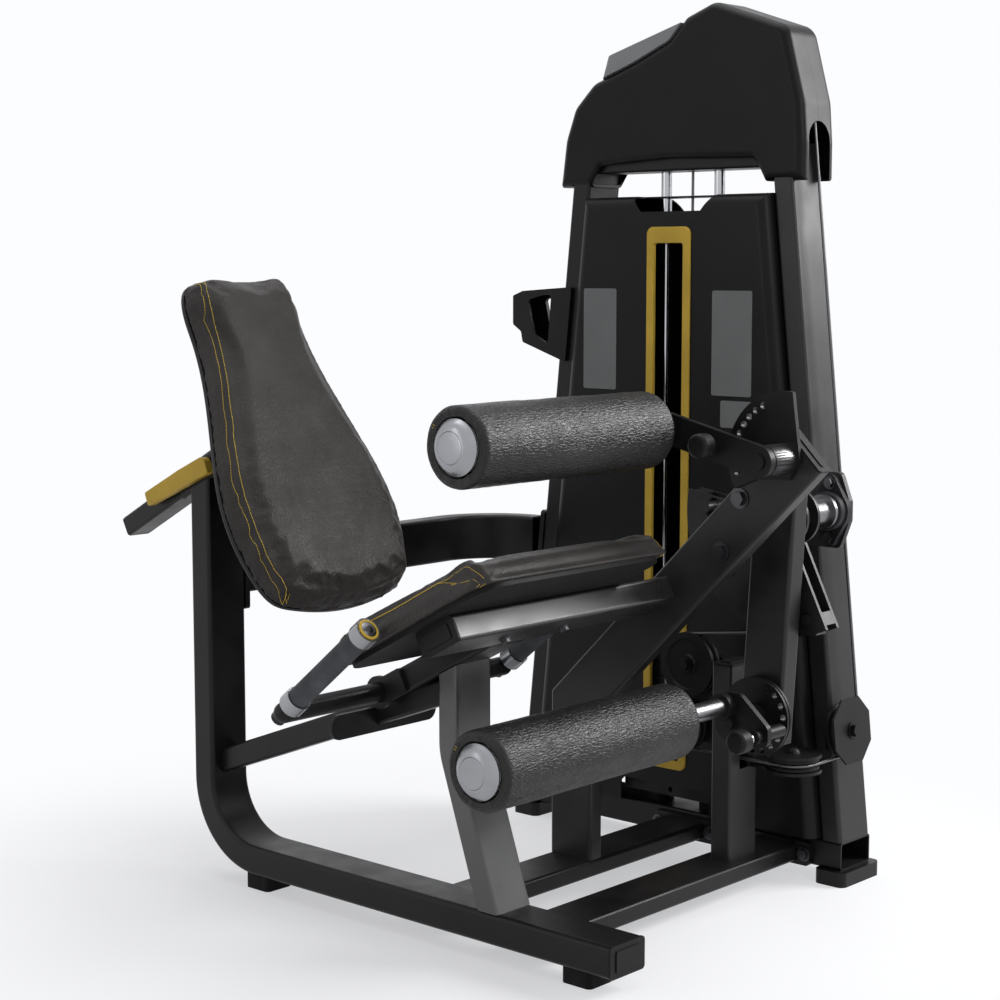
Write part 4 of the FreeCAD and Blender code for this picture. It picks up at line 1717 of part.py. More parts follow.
def frame_bolts():
    """Hexagon heads at the flanges, the beam and the cross beam."""
    bolts = []
    flange_x = UPRIGHT_NEAR_X - RAIL_FLANGE_THICKNESS - SEAT_GAP
    for y in (FRONT_RAIL_Y, REAR_RAIL_Y):
        for side in (-1, 1):
            offset = side * (RAIL_WIDTH / 2 + 13.5)
            bolts.append(hex_bolt((flange_x, y + offset, RAIL_Z), (-1, 0, 0)))
    near = BEAM_POST_X - BEAM_POST_WIDTH / 2 - SEAT_GAP
    for y, z in ((-11, 696), (24, 610)):
        bolts.append(hex_bolt((near, y, z), (-1, 0, 0), 12, 8))
    plate_x = MAIN_TUBE_WIDTH / 2 + CROSS_PLATE_THICKNESS + SEAT_GAP
    for side in (-1, 1):
        z = CROSS_BEAM_Z + side * (CROSS_BEAM_HEIGHT / 2 + 14)
        bolts.append(hex_bolt((plate_x, COLUMN_Y, z), (1, 0, 0)))
    for side in (-1, 1):
        z = KNEE_Z + side * FLANGE_BOLT_REACH
        bolts.append(hex_bolt((FLANGE_X - SEAT_GAP, KNEE_Y, z), (-1, 0, 0), 8, 6))
    for side in (-1, 1):
        place = on_seat(side * 67 + 20, 0, -CROSSBAR_THICKNESS / 2 - SEAT_GAP)
        bolts.append(hex_bolt(tuple(place), tuple(SEAT_UPWARD * -1), 7, 5))
    return Part.makeCompound(bolts)


# ---------------------------------------------------------------- all pieces
def build():
    piece("main_frame_tube", main_frame_tube())
    piece("rubber_feet", rubber_feet())
    piece("front_post", front_post())
    piece("seat_strut", seat_strut())
    piece("seat_crossbar", seat_crossbar())
    piece("seat_rail", seat_rail())
    piece("base_rails", base_rails())
    piece("beam_post", beam_post())
    piece("short_post", short_post())
    piece("cross_beam", cross_beam())
    piece("upright_front", fuse([upright_front(), bearing_plate()]))
    piece("upright_rear", mirror_y(upright_front()))
    piece("tower_base", tower_base())
    piece("tower_head", tower_head())
    piece("guide_rods", Part.makeCompound(guide_rods() + bumpers()))
    piece("resting_plates", resting_plates())
    piece("lifted_stack", Part.makeCompound(lifted_plates() + [lift_stem()]))
    piece("selector_pin", selector_pin())
    piece("shroud_near", shroud_near())
    piece("shroud_far", mirror_x(shroud()))
    piece("slot_frame", slot_frame())
    piece("cowl_near", cowl_near())
    piece("cowl_far", mirror_x(cowl_near()))
    piece("cowl_tray", cowl_tray())
    piece("bottle_holder", bottle_holder())
    piece("flange_bearing", flange_bearing())
    piece("knee_shaft", knee_shaft())
    piece("swing_arm", Part.makeCompound([swing_arm()] + arm_caps()))
    piece("cam", fuse([cam(), cam_anchor()]))
    piece("index_disc", index_disc())
    piece("crank_plate", crank_plate())
    piece("ankle_pull_pin", ankle_pull_pin())
    piece("ankle_shaft", roller_shaft(ANKLE_Y, ANKLE_Z, ANKLE_ROLLER_FAR_X, CRANK_FAR_X))
    piece("ankle_roller", roller_pad(ANKLE_Y, ANKLE_Z, ANKLE_ROLLER_FAR_X))
    piece("sector_plate", sector_plate())
    piece("thigh_arm", thigh_arm())
    piece("thigh_pull_pin", thigh_pull_pin())
    piece("thigh_shaft", roller_shaft(THIGH_Y, THIGH_Z, THIGH_ROLLER_FAR_X, THIGH_ARM_FAR_X))
    piece("thigh_roller", roller_pad(THIGH_Y, THIGH_Z, THIGH_ROLLER_FAR_X))
    piece("seat_board", seat_board())
    piece("seat_pad", seat_pad())
    piece("handle_frame", Part.makeCompound([handle_frame()] + grip_collars()))
    piece("grips", grips())
    piece("back_pad", back_pad())
    piece("back_shell", back_shell())
    piece("slide_tube", fuse([slide_tube(), slide_cap()]))
    piece("slide_sleeve", slide_sleeve())
    piece("release_lever", release_lever())
    all_pulleys()
    piece("pulley_brackets", Part.makeCompound(pulley_brackets() + [front_pulley_bracket()]))
    piece("stack_cable", stack_cable())
    piece("drive_cable", drive_cable())
    piece("cam_cable", cam_cable())
    piece("frame_caps", frame_caps())
    piece("frame_bolts", frame_bolts())


def export():
    os.makedirs("parts", exist_ok=True)
    low = [1e9, 1e9]
    high = [-1e9, -1e9]
    for shape in NODES.values():
        room = shape.optimalBoundingBox(False, False)
        low = [min(low[0], room.XMin), min(low[1], room.YMin)]
        high = [max(high[0], room.XMax), max(high[1], room.YMax)]
    shift = Vector(-(low[0] + high[0]) / 2, -(low[1] + high[1]) / 2, 0)
    print("origin shift", round(shift.x, 3), round(shift.y, 3))
    for name, shape in NODES.items():
        shape = shape.copy()
        shape.translate(shift)
        shape.exportStep("parts/" + name + ".step")
    print(len(NODES), "nodes")


build()
export()
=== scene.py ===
"""Looks of the leg extension machine: materials, sewn pads, rollers, light and camera."""
import math

import bpy
from mathutils import Matrix, Vector, noise
from mathutils.bvhtree import BVHTree


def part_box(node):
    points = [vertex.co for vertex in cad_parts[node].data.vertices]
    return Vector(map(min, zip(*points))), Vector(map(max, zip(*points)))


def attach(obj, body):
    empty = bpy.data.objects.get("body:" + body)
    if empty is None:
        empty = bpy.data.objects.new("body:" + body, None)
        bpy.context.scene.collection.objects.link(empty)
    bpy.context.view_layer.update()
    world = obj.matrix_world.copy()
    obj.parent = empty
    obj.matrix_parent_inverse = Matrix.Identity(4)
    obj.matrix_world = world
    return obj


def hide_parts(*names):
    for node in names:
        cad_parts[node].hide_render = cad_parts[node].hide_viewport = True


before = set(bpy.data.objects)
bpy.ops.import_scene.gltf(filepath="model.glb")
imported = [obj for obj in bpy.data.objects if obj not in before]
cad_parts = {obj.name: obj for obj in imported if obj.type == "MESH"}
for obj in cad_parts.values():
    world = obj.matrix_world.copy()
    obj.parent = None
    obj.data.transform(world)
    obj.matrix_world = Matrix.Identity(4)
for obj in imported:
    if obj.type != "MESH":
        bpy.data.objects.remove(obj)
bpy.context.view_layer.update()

# ---------------------------------------------------------------- reference places
TILT = math.radians(28.0)          # of the seat; the back rest stands square to it
SEAT_BACKWARD = Vector((0, math.cos(TILT), -math.sin(TILT)))
SEAT_UPWARD = Vector((0, math.sin(TILT), math.cos(TILT)))


def centre_of(node):
    low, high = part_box(node)
    return (low + high) / 2


SEAT_THICKNESS = 0.042
SEAT_ORIGIN = centre_of("seat_crossbar")
SEAT_ORIGIN.x = centre_of("seat_pad").x
MIDDLE_X = SEAT_ORIGIN.x
BOARD_TOP = 0.0285          # of the seat's board, above the crossbar's middle
GRIP_TILT = math.radians(39.0)
GRIP_REACH = Vector((0, -math.cos(GRIP_TILT), math.sin(GRIP_TILT)))
GRIP_FOOT = SEAT_ORIGIN + SEAT_BACKWARD * 0.291
GRIP_TUBE_EDGE = 0.020      # from the handle frame's side to a grip's axis

# ---------------------------------------------------------------- material kit
class Material:
    """A node material with a Principled shader and short ways to feed it."""

    def __init__(self, name, colour, roughness=0.5, metallic=0.0, specular=0.14):
        self.data = bpy.data.materials.new(name)
        self.data.use_nodes = True
        self.nodes = self.data.node_tree.nodes
        self.links = self.data.node_tree.links
        self.shader = self.nodes["Principled BSDF"]
        self.shader.inputs["Base Color"].default_value = (*colour, 1)
        self.shader.inputs["Roughness"].default_value = roughness
        self.shader.inputs["Metallic"].default_value = metallic
        self.shader.inputs["Specular IOR Level"].default_value = 0.5 if metallic else specular
        self.place = self.nodes.new("ShaderNodeTexCoord").outputs["Object"]
        self.colour = colour
        self.height = None

    def stretched(self, scale):
        mapping = self.nodes.new("ShaderNodeMapping")
        mapping.inputs["Scale"].default_value = scale
        self.links.new(self.place, mapping.inputs["Vector"])
        return mapping.outputs["Vector"]

    def noise(self, scale, detail=4.0, roughness=0.55, vector=None):
        node = self.nodes.new("ShaderNodeTexNoise")
        node.inputs["Scale"].default_value = scale
        node.inputs["Detail"].default_value = detail
        node.inputs["Roughness"].default_value = roughness
        self.links.new(vector or self.place, node.inputs["Vector"])
        return node.outputs["Fac"]

    def cells(self, scale, feature="F1", vector=None):
        node = self.nodes.new("ShaderNodeTexVoronoi")
        node.feature = feature
        node.inputs["Scale"].default_value = scale
        self.links.new(vector or self.place, node.inputs["Vector"])
        return node.outputs["Distance"]

    def warped(self, vector, scale, amount):
        """Coordinates pushed about by a noise, so that cells run unevenly."""
        node = self.nodes.new("ShaderNodeTexNoise")
        node.inputs["Scale"].default_value = scale
        node.inputs["Detail"].default_value = 3
        self.links.new(vector, node.inputs["Vector"])
        push = self.nodes.new("ShaderNodeVectorMath")
        push.operation = "MULTIPLY_ADD"
        push.inputs[1].default_value = (amount,) * 3
        self.links.new(node.outputs["Color"], push.inputs[0])
        self.links.new(vector, push.inputs[2])
        return push.outputs["Vector"]

    def ramp(self, value, stops):
        node = self.nodes.new("ShaderNodeValToRGB")
        ramp = node.color_ramp
        while len(ramp.elements) < len(stops):
            ramp.elements.new(0.5)
        for element, (position, colour) in zip(ramp.elements, stops):
            element.position = position
            element.color = (*colour, 1)
        self.links.new(value, node.inputs["Fac"])
        return node.outputs["Color"]

    def grey_ramp(self, value, low, high, start=0.3, end=0.7):
        return self.ramp(value, [(start, (low,) * 3), (end, (high,) * 3)])

    def math(self, operation, a, b):
        node = self.nodes.new("ShaderNodeMath")
        node.operation = operation
        for socket, value in zip(node.inputs, (a, b)):
            if isinstance(value, (int, float)):
                socket.default_value = value
            else:
                self.links.new(value, socket)
        return node.outputs[0]

    def tint(self, value, spread):
        """Vary the base colour gently with a texture."""
        dark = tuple(c * (1 - spread) for c in self.colour)
        light = tuple(min(c * (1 + spread) + 0.004, 1) for c in self.colour)
        self.links.new(self.ramp(value, [(0.3, dark), (0.7, light)]),
                       self.shader.inputs["Base Color"])
        return self

    def rough(self, value, low, high):
        self.links.new(self.grey_ramp(value, low, high), self.shader.inputs["Roughness"])
        return self

    def bump(self, value, distance, strength=1.0):
        node = self.nodes.new("ShaderNodeBump")
        node.inputs["Distance"].default_value = distance
        node.inputs["Strength"].default_value = strength
        self.links.new(value, node.inputs["Height"])
        if self.height is not None:
            self.links.new(self.height, node.inputs["Normal"])
        self.height = node.outputs["Normal"]
        self.links.new(self.height, self.shader.inputs["Normal"])
        return self


def powder_coat(name, colour, roughness=0.42, specular=0.2):
    """Textured powder coat: fine orange peel with slight wear in the sheen."""
    m = Material(name, colour, roughness, specular=specular)
    m.tint(m.noise(7, 5), 0.22)
    m.rough(m.noise(14, 6, 0.6), roughness - 0.07, roughness + 0.1)
    m.bump(m.noise(650, 2), 0.00012, 0.55)
    return m.data


def moulded(name, colour, roughness=0.4, grain=900):
    """Moulded plastic with a spark-eroded grain."""
    m = Material(name, colour, roughness)
    m.tint(m.noise(4, 3), 0.12)
    m.rough(m.noise(9, 4), roughness - 0.05, roughness + 0.07)
    m.bump(m.cells(grain), 0.00010, 0.5)
    return m.data


def leather(name, colour, wrinkle, depth, gloss, specular, grain=620):
    """Upholstery leatherette: creased cells, pebbled grain and fine pores."""
    m = Material(name, colour, gloss, specular=specular)
    m.tint(m.noise(11, 5), 0.25)
    m.rough(m.noise(40, 5, 0.6), gloss - 0.06, gloss + 0.12)
    uneven = m.warped(m.stretched(wrinkle), 1.4, 0.9)
    edges = m.cells(1.0, "DISTANCE_TO_EDGE", vector=uneven)
    m.bump(m.grey_ramp(edges, 0.0, 1.0, 0.0, 0.28), depth, 0.8)
    m.bump(m.noise(0.5, 4, 0.6, uneven), depth * 1.4, 0.7)
    m.bump(m.cells(grain), 0.00022, 0.6)
    m.bump(m.noise(1900, 2), 0.00006, 0.4)
    return m.data


def brushed(name, colour, scale=(30, 900, 900), roughness=0.3):
    """Brushed or turned metal, with the brush marks along x."""
    m = Material(name, colour, roughness, 1.0)
    lines = m.noise(1.0, 3, 0.6, m.stretched(scale))
    m.rough(lines, roughness - 0.08, roughness + 0.12)
    m.tint(m.noise(12, 3), 0.10)
    m.bump(lines, 0.00005, 0.5)
    return m.data


def polished(name, colour, roughness=0.09):
    m = Material(name, colour, roughness, 1.0)
    m.rough(m.noise(25, 5), roughness - 0.03, roughness + 0.06)
    m.tint(m.noise(8, 2), 0.05)
    return m.data


def cast_metal(name, colour):
    m = Material(name, colour, 0.52)
    m.tint(m.noise(16, 6), 0.3)
    m.rough(m.noise(30, 5), 0.42, 0.62)
    m.bump(m.noise(260, 5, 0.7), 0.00035, 0.6)
    return m.data


def rubbery(name, colour):
    m = Material(name, colour, 0.72)
    m.tint(m.noise(20, 5), 0.25)
    m.rough(m.noise(45, 4), 0.62, 0.85)
    m.bump(m.cells(700), 0.00012, 0.5)
    return m.data


def wire_rope(name, colour):
    """Twisted strands under a clear coat; the colour darkens in the grooves between the strands, which
    is painted shade.
    """
    m = Material(name, colour, 0.3, 0.4)
    strands = m.nodes.new("ShaderNodeTexWave")
    strands.inputs["Scale"].default_value = 260
    strands.inputs["Distortion"].default_value = 1.0
    m.links.new(m.place, strands.inputs["Vector"])
    # Painted shade: the tint follows the strands' relief and is darker in their grooves.
    m.tint(strands.outputs["Fac"], 0.4)
    m.bump(strands.outputs["Fac"], 0.0004, 0.6)
    m.shader.inputs["Coat Weight"].default_value = 0.6
    return m.data


def thread(name, colour):
    m = Material(name, colour, 0.6)
    m.tint(m.noise(900, 2), 0.2)
    m.bump(m.noise(2600, 2), 0.0001, 0.6)
    m.shader.inputs["Sheen Weight"].default_value = 0.3
    return m.data


BLACK_PAINT = powder_coat("black_paint", (0.0050, 0.0050, 0.0056), 0.38, 0.22)
# A lighter, glossier copy of the black paint for the seat crossbar and front post: painted light,
# standing in for the highlight that these faces catch.
LIT_COPY_PAINT = powder_coat("black_paint_lit_copy", (0.014, 0.0137, 0.0133), 0.33, 1.0)
GREY_BLACK_PAINT = powder_coat("grey_black_paint", (0.011, 0.011, 0.0117), 0.38, 0.34)
YELLOW_PAINT = powder_coat("yellow_paint", (0.62, 0.41, 0.055), 0.38)
COWL_PLASTIC = moulded("cowl_plastic", (0.0032, 0.0032, 0.0038), 0.34)
SHROUD_PLASTIC = moulded("shroud_plastic", (0.0060, 0.0060, 0.0068), 0.33, 1100)
BLACK_PLASTIC = moulded("black_plastic", (0.009, 0.009, 0.0095), 0.42)
GREY_PLASTIC = moulded("grey_plastic", (0.27, 0.275, 0.28), 0.40)
SHELL_PLASTIC = moulded("shell_plastic", (0.020, 0.020, 0.021), 0.42)
PAD_LEATHER = leather("pad_leather", (0.0370, 0.0335, 0.0315), (210, 120, 120), 0.0004, 0.42,
                      0.18)
ROLLER_LEATHER = leather("roller_leather", (0.0085, 0.0083, 0.0083), (75, 230, 230), 0.0006, 0.33,
                         0.30)
RUBBER = rubbery("rubber", (0.010, 0.010, 0.011))
GRIP_RUBBER = rubbery("grip_rubber", (0.075, 0.078, 0.085))
STEEL = brushed("turned_steel", (0.22, 0.22, 0.225))
CAP_METAL = brushed("cap_metal", (0.30, 0.305, 0.32), (30, 30, 30), 0.27)
CHROME = polished("chrome", (0.46, 0.465, 0.48))
ZINC = polished("dark_bolts", (0.075, 0.075, 0.08), 0.34)
CAST_IRON = cast_metal("cast_iron", (0.018, 0.018, 0.020))
WIRE_ROPE = wire_rope("wire_rope", (0.09, 0.09, 0.095))
BOARD = moulded("seat_board_paint", (0.012, 0.0115, 0.011), 0.6)
PLACARD = moulded("placard", (0.20, 0.205, 0.205), 0.35)
THREAD = thread("yellow_thread", (0.80, 0.55, 0.05))


# ---------------------------------------------------------------- dressing CAD nodes
RING_HEIGHT = 0.0221        # of the rubber rings at the guide rods' feet
RING_RADIUS = 0.024
ROD_RADIUS = 0.0105
KNOB_LENGTH = 0.0245        # of the pull pins' knobs
AXLE_RADIUS = 0.014         # of the thigh arm's painted axle
COLLAR_START = 0.0195       # up a grip from its foot
HANDLE_TUBE_RADIUS = 0.0125


def node_object(name):
    return bpy.data.objects[name]


def smooth(mesh, angle=35):
    """Smooth shading that keeps edges sharper than the angle."""
    for polygon in mesh.polygons:
        polygon.use_smooth = True
    mesh.set_sharp_from_angle(angle=math.radians(angle))


def dress(name, material):
    item = node_object(name)
    item.data.materials.clear()
    item.data.materials.append(material)
    smooth(item.data)


def repaint(name, material, test):
    """Give another material to the faces whose middle passes the test."""
    mesh = node_object(name).data
    mesh.materials.append(material)
    slot = len(mesh.materials) - 1
    for polygon in mesh.polygons:
        if test(polygon.center):
            polygon.material_index = slot


FINISHES = (
    (BLACK_PAINT, ("main_frame_tube", "base_rails", "cross_beam", "upright_rear", "tower_base",
                   "tower_head", "seat_strut", "seat_rail", "handle_frame",
                   "thigh_arm", "crank_plate", "slide_sleeve", "slide_tube", "index_disc",
                   "pulley_brackets", "sector_plate")),
    # The seat crossbar and front post take the lighter copy of the black paint: painted light on their
    # lit faces.
    (LIT_COPY_PAINT, ("seat_crossbar", "front_post")),
    (GREY_BLACK_PAINT, ("beam_post", "short_post", "swing_arm", "cam",
                        "upright_front")),
    (COWL_PLASTIC, ("cowl_near", "cowl_far")),
    (SHROUD_PLASTIC, ("shroud_near", "shroud_far")),
    (YELLOW_PAINT, ("slot_frame", "release_lever")),
    (GREY_PLASTIC, ("cowl_tray",)),
    (SHELL_PLASTIC, ("back_shell",)),
    (BLACK_PLASTIC, ("bottle_holder", "frame_caps", "ankle_pull_pin", "thigh_pull_pin",
                     "selector_pin", "front_pulley", "lying_pulley", "lower_pulley",
                     "big_pulley", "top_pulley_front", "top_pulley_rear")),
    (RUBBER, ("rubber_feet",)),
    (GRIP_RUBBER, ("grips",)),
    (STEEL, ("knee_shaft", "ankle_shaft", "thigh_shaft")),
    (CHROME, ("guide_rods",)),
    (ZINC, ("frame_bolts",)),
    (CAST_IRON, ("resting_plates", "lifted_stack", "flange_bearing")),
    (WIRE_ROPE, ("stack_cable", "drive_cable", "cam_cable")),
    (BOARD, ("seat_board",)),
)


def dress_cad_nodes():
    for material, names in FINISHES:
        for name in names:
            dress(name, material)
    roller_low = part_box("ankle_roller")[0].x
    for shaft in ("ankle_shaft", "thigh_shaft"):
        repaint(shaft, CAP_METAL, lambda p: p.x < roller_low)
    ring_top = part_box("guide_rods")[0].z + RING_HEIGHT
    repaint("guide_rods", RUBBER, lambda p: p.z < ring_top and is_ring(p))
    for pin in ("ankle_pull_pin", "thigh_pull_pin"):
        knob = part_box(pin)[0].x + KNOB_LENGTH
        repaint(pin, CHROME, lambda p: p.x > knob)
    repaint("handle_frame", CAP_METAL, is_collar)
    dress_thigh_stud()


def dress_thigh_stud():
    """Bare steel on the stud between the thigh arm and the sector plate."""
    low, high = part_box("sector_plate")
    turned = [v.co for v in node_object("sector_plate").data.vertices if v.co.x < low.x + 0.0005]
    axle = sum(turned, Vector()) / len(turned)
    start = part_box("thigh_arm")[1].x - 0.02
    end = high.x - 0.009
    repaint("sector_plate", STEEL, lambda p: start < p.x < end
            and math.hypot(p.y - axle.y, p.z - axle.z) > AXLE_RADIUS)


def is_ring(p):
    """On a rubber ring round a guide rod: further out than the rod's wall."""
    low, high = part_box("guide_rods")
    rods = (low.y + RING_RADIUS, high.y - RING_RADIUS)
    x_mid = (low.x + high.x) / 2
    return min(math.hypot(p.x - x_mid, p.y - y) for y in rods) > ROD_RADIUS


def is_collar(p):
    """On a metal collar: clear of the tube's wall on a grip's axis."""
    low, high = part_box("handle_frame")
    side = low.x + GRIP_TUBE_EDGE if p.x < MIDDLE_X else high.x - GRIP_TUBE_EDGE
    offset = Vector(p) - Vector((side, GRIP_FOOT.y, GRIP_FOOT.z))
    along = offset.dot(GRIP_REACH)
    off = (offset - GRIP_REACH * along).length
    return along > COLLAR_START and off > HANDLE_TUBE_RADIUS


# ---------------------------------------------------------------- cloth
def new_object(name, mesh):
    item = bpy.data.objects.new(name, mesh)
    bpy.context.scene.collection.objects.link(item)
    return item


def evaluated_mesh(item):
    graph = bpy.context.evaluated_depsgraph_get()
    graph.update()
    return bpy.data.meshes.new_from_object(item.evaluated_get(graph))


def remeshed(item, voxel):
    modifier = item.modifiers.new("remesh", "REMESH")
    modifier.mode = "VOXEL"
    modifier.voxel_size = voxel
    mesh = evaluated_mesh(item)
    item.modifiers.clear()
    item.data = mesh


def inflate(item, pinned, cap, pressure=4.0):
    """Swell a cushion with cloth; no point moves further than the cap."""
    rest = [v.co.copy() for v in item.data.vertices]
    held = [v.index for v in item.data.vertices if pinned(v.co)]
    group = item.vertex_groups.new(name="held")
    group.add(held, 1.0, "REPLACE")
    cloth = item.modifiers.new("Cloth", "CLOTH")
    settings = cloth.settings
    settings.quality = 5
    settings.mass = 0.3
    settings.tension_stiffness = 12
    settings.compression_stiffness = 12
    settings.bending_stiffness = 0.6
    settings.use_pressure = True
    settings.uniform_pressure_force = pressure
    settings.vertex_group_mass = "held"
    settings.effector_weights.gravity = 0
    scene = bpy.context.scene
    for number in range(1, 21):
        scene.frame_set(number)
    mesh = evaluated_mesh(item)
    item.modifiers.clear()
    scene.frame_set(1)
    for vertex, start in zip(mesh.vertices, rest):
        move = vertex.co - start
        if move.length > cap:
            vertex.co = start + move * (cap / move.length)
    item.data = mesh


def pad_from_node(node, name, body, material, voxel, shrink, cap, pinned):
    """A sewn pad grown from the node's solid."""
    source = node_object(node)
    item = new_object(name, source.data.copy())
    remeshed(item, voxel)
    for vertex in item.data.vertices:
        if not pinned(vertex.co):
            vertex.co -= vertex.normal * shrink
    inflate(item, pinned, cap)
    item.data.materials.clear()
    item.data.materials.append(material)
    for polygon in item.data.polygons:
        polygon.use_smooth = True
    level = item.modifiers.new("smooth", "SUBSURF")
    level.levels = 1
    level.render_levels = 1
    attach(item, body)
    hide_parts(node)
    return item


def surface_tree(item):
    graph = bpy.context.evaluated_depsgraph_get()
    graph.update()
    return BVHTree.FromObject(item, graph)


def seam_line(tree, rays):
    """Where rays meet the surface, in order: (point, normal)."""
    line = []
    for start, direction in rays:
        hit, normal, _, distance = tree.ray_cast(start, direction)
        if hit is not None and distance < 0.3:
            line.append((hit, normal))
    return line


def along_line(line, lengths, travel):
    """Point and normal at a distance along a seam line."""
    for k in range(len(line) - 1):
        if travel <= lengths[k + 1]:
            t = (travel - lengths[k]) / max(lengths[k + 1] - lengths[k], 1e-9)
            return line[k][0].lerp(line[k + 1][0], t), line[k][1].lerp(line[k + 1][1], t)
    return line[-1]


def stitches(name, body, line, pitch=0.0046, dash=0.0038, radius=0.00052):
    """Thread stitches laid along a seam line; each is a slim spindle."""
    lengths = [0.0]
    for (a, _), (b, _) in zip(line, line[1:]):
        lengths.append(lengths[-1] + (b - a).length)
    vertices, faces = [], []
    start = pitch / 2
    while start + dash < lengths[-1]:
        base = len(vertices)
        spots = [along_line(line, lengths, start + dash * share) for share in (0, 0.5, 1)]
        along = (spots[2][0] - spots[0][0]).normalized()
        for k, (centre, normal) in enumerate(spots):
            middle = k == 1
            centre = centre + normal * (radius * (1.1 if middle else 0.3))
            grow = radius * (1.0 if middle else 0.6)
            side = along.cross(normal).normalized()
            rise = side.cross(along)
            for corner in range(6):
                angle = math.tau * corner / 6
                vertices.append(centre + side * (grow * math.cos(angle))
                                + rise * (grow * math.sin(angle)))
        for ring in range(2):
            for corner in range(6):
                after = (corner + 1) % 6
                first = base + ring * 6
                faces.append((first + corner, first + after, first + 6 + after,
                              first + 6 + corner))
        faces.append(tuple(base + c for c in range(5, -1, -1)))
        faces.append(tuple(base + 12 + c for c in range(6)))
        start += pitch
    mesh = bpy.data.meshes.new(name)
    mesh.from_pydata(vertices, [], faces)
    item = new_object(name, mesh)
    mesh.materials.append(THREAD)
    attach(item, body)
    return item


def fan(centre, first_axis, second_axis, start, end, reach=0.16, steps=14):
    """Rays from outside towards a centre, turning from one axis to the other."""
    rays = []
    for step in range(steps + 1):
        angle = math.radians(start + (end - start) * step / steps)
        out = first_axis * math.cos(angle) + second_axis * math.sin(angle)
        rays.append((centre + out * reach, -out))
    return rays


def resampled(points):
    """Points at equal steps along a Catmull-Rom curve through the given ones."""
    dense = []
    for k in range(len(points) - 1):
        p0 = points[max(k - 1, 0)]
        p1, p2 = points[k], points[k + 1]
        p3 = points[min(k + 2, len(points) - 1)]
        for step in range(16):
            t = step / 16
            dense.append(0.5 * ((2 * p1) + (p2 - p0) * t + (2 * p0 - 5 * p1 + 4 * p2 - p3) * t * t
                                + (3 * p1 - p0 - 3 * p2 + p3) * t ** 3))
    dense.append(points[-1])
    return dense


# ---------------------------------------------------------------- seat and back
def seat_pad():
    board_top = SEAT_ORIGIN.dot(SEAT_UPWARD) + BOARD_TOP
    item = pad_from_node("seat_pad", "seat_cushion", "frame", PAD_LEATHER, 0.006, 0.004, 0.010,
                         lambda p: p.dot(SEAT_UPWARD) < board_top + 0.004)
    tree = surface_tree(item)
    low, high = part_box("seat_pad")
    half = (high.x - low.x) / 2
    middle = board_top + SEAT_THICKNESS / 2
    for side in (-1, 1):
        for inset in (0.009, 0.0145):
            across = Vector((MIDDLE_X + side * (half - inset) - SEAT_ORIGIN.x, 0, 0))
            spot = SEAT_ORIGIN + across
            up = SEAT_UPWARD * (middle - SEAT_ORIGIN.dot(SEAT_UPWARD))
            ahead = spot - SEAT_BACKWARD * 0.098 + up
            behind = spot + SEAT_BACKWARD * 0.150 + up
            rays = fan(ahead, -SEAT_BACKWARD, SEAT_UPWARD, -34, 90)
            sideways = Vector((side, 0, 0))
            edge = sideways * (inset - 0.017) + SEAT_UPWARD * (SEAT_THICKNESS / 2 - 0.010)
            for step in range(1, 20):
                lean = math.radians(min(1.0, step / 3) * (62 - 1800 * (inset - 0.009)))
                out = SEAT_UPWARD * math.cos(lean) + sideways * math.sin(lean)
                spot = ahead.lerp(behind, step / 20) + edge * min(1.0, step / 3)
                rays.append((spot + out * 0.16, -out))
            rays += fan(behind, SEAT_UPWARD, SEAT_BACKWARD, 0, 100)
            stitches(f"seat_stitch_{side + 1}_{round(inset * 1e4)}", "frame",
                     seam_line(tree, rays))
    return item


def outline_rows(node, step=0.02):
    """Half width of a back piece at each height along its own slope."""
    rows = {}
    for vertex in node_object(node).data.vertices:
        key = round(vertex.co.dot(SEAT_UPWARD) / step)
        rows[key] = max(rows.get(key, 0), abs(vertex.co.x - MIDDLE_X))
    return [(key * step, rows[key]) for key in sorted(rows)]


def back_pad():
    shell_front = max(v.co.dot(-SEAT_BACKWARD) for v in node_object("back_shell").data.vertices)
    item = pad_from_node("back_pad", "back_cushion", "back", PAD_LEATHER, 0.006, 0.005, 0.012,
                         lambda p: p.dot(-SEAT_BACKWARD) < shell_front + 0.006)
    tree = surface_tree(item)
    rows = outline_rows("back_pad")[1:-1]
    front = max(v.co.dot(-SEAT_BACKWARD) for v in node_object("back_pad").data.vertices)
    depth = front - 0.022
    for side, insets in ((-1, (0.015, 0.0215)), (1, (0.012,))):
        for inset in insets:
            spots = []
            for up, width in rows:
                flat = SEAT_UPWARD * up - SEAT_BACKWARD * depth
                spots.append(Vector((MIDDLE_X + side * (width - inset), flat.y, flat.z)))
            low, high = spots[0], spots[-1]
            rays = fan(low + SEAT_UPWARD * 0.012, -SEAT_UPWARD, -SEAT_BACKWARD, -10, 75)
            for spot in resampled(spots):
                rays.append((spot - SEAT_BACKWARD * 0.16, SEAT_BACKWARD))
            rays += fan(high - SEAT_UPWARD * 0.012, -SEAT_BACKWARD, SEAT_UPWARD, 15, 100)
            stitches(f"back_stitch_{side + 1}_{round(inset * 1e4)}", "back",
                     seam_line(tree, rays))
    return item


# ---------------------------------------------------------------- rollers
ROLLER_POCKET = 0.0418      # radius of the cover's mouth round the end cap
ROLLER_BORE = 0.0156
ROLLER_LIP = 0.009          # rounding of the roller's ends
POCKET_DEPTH = 0.0095
CAP_RECESS = 0.002


def arc_profile(x, r, size, first, last, steps):
    """Points of an arc about (x, r) in the roller's lengthwise section."""
    points = []
    for step in range(steps + 1):
        angle = math.radians(first + (last - first) * step / steps)
        points.append((x + size * math.cos(angle), r + size * math.sin(angle)))
    return points


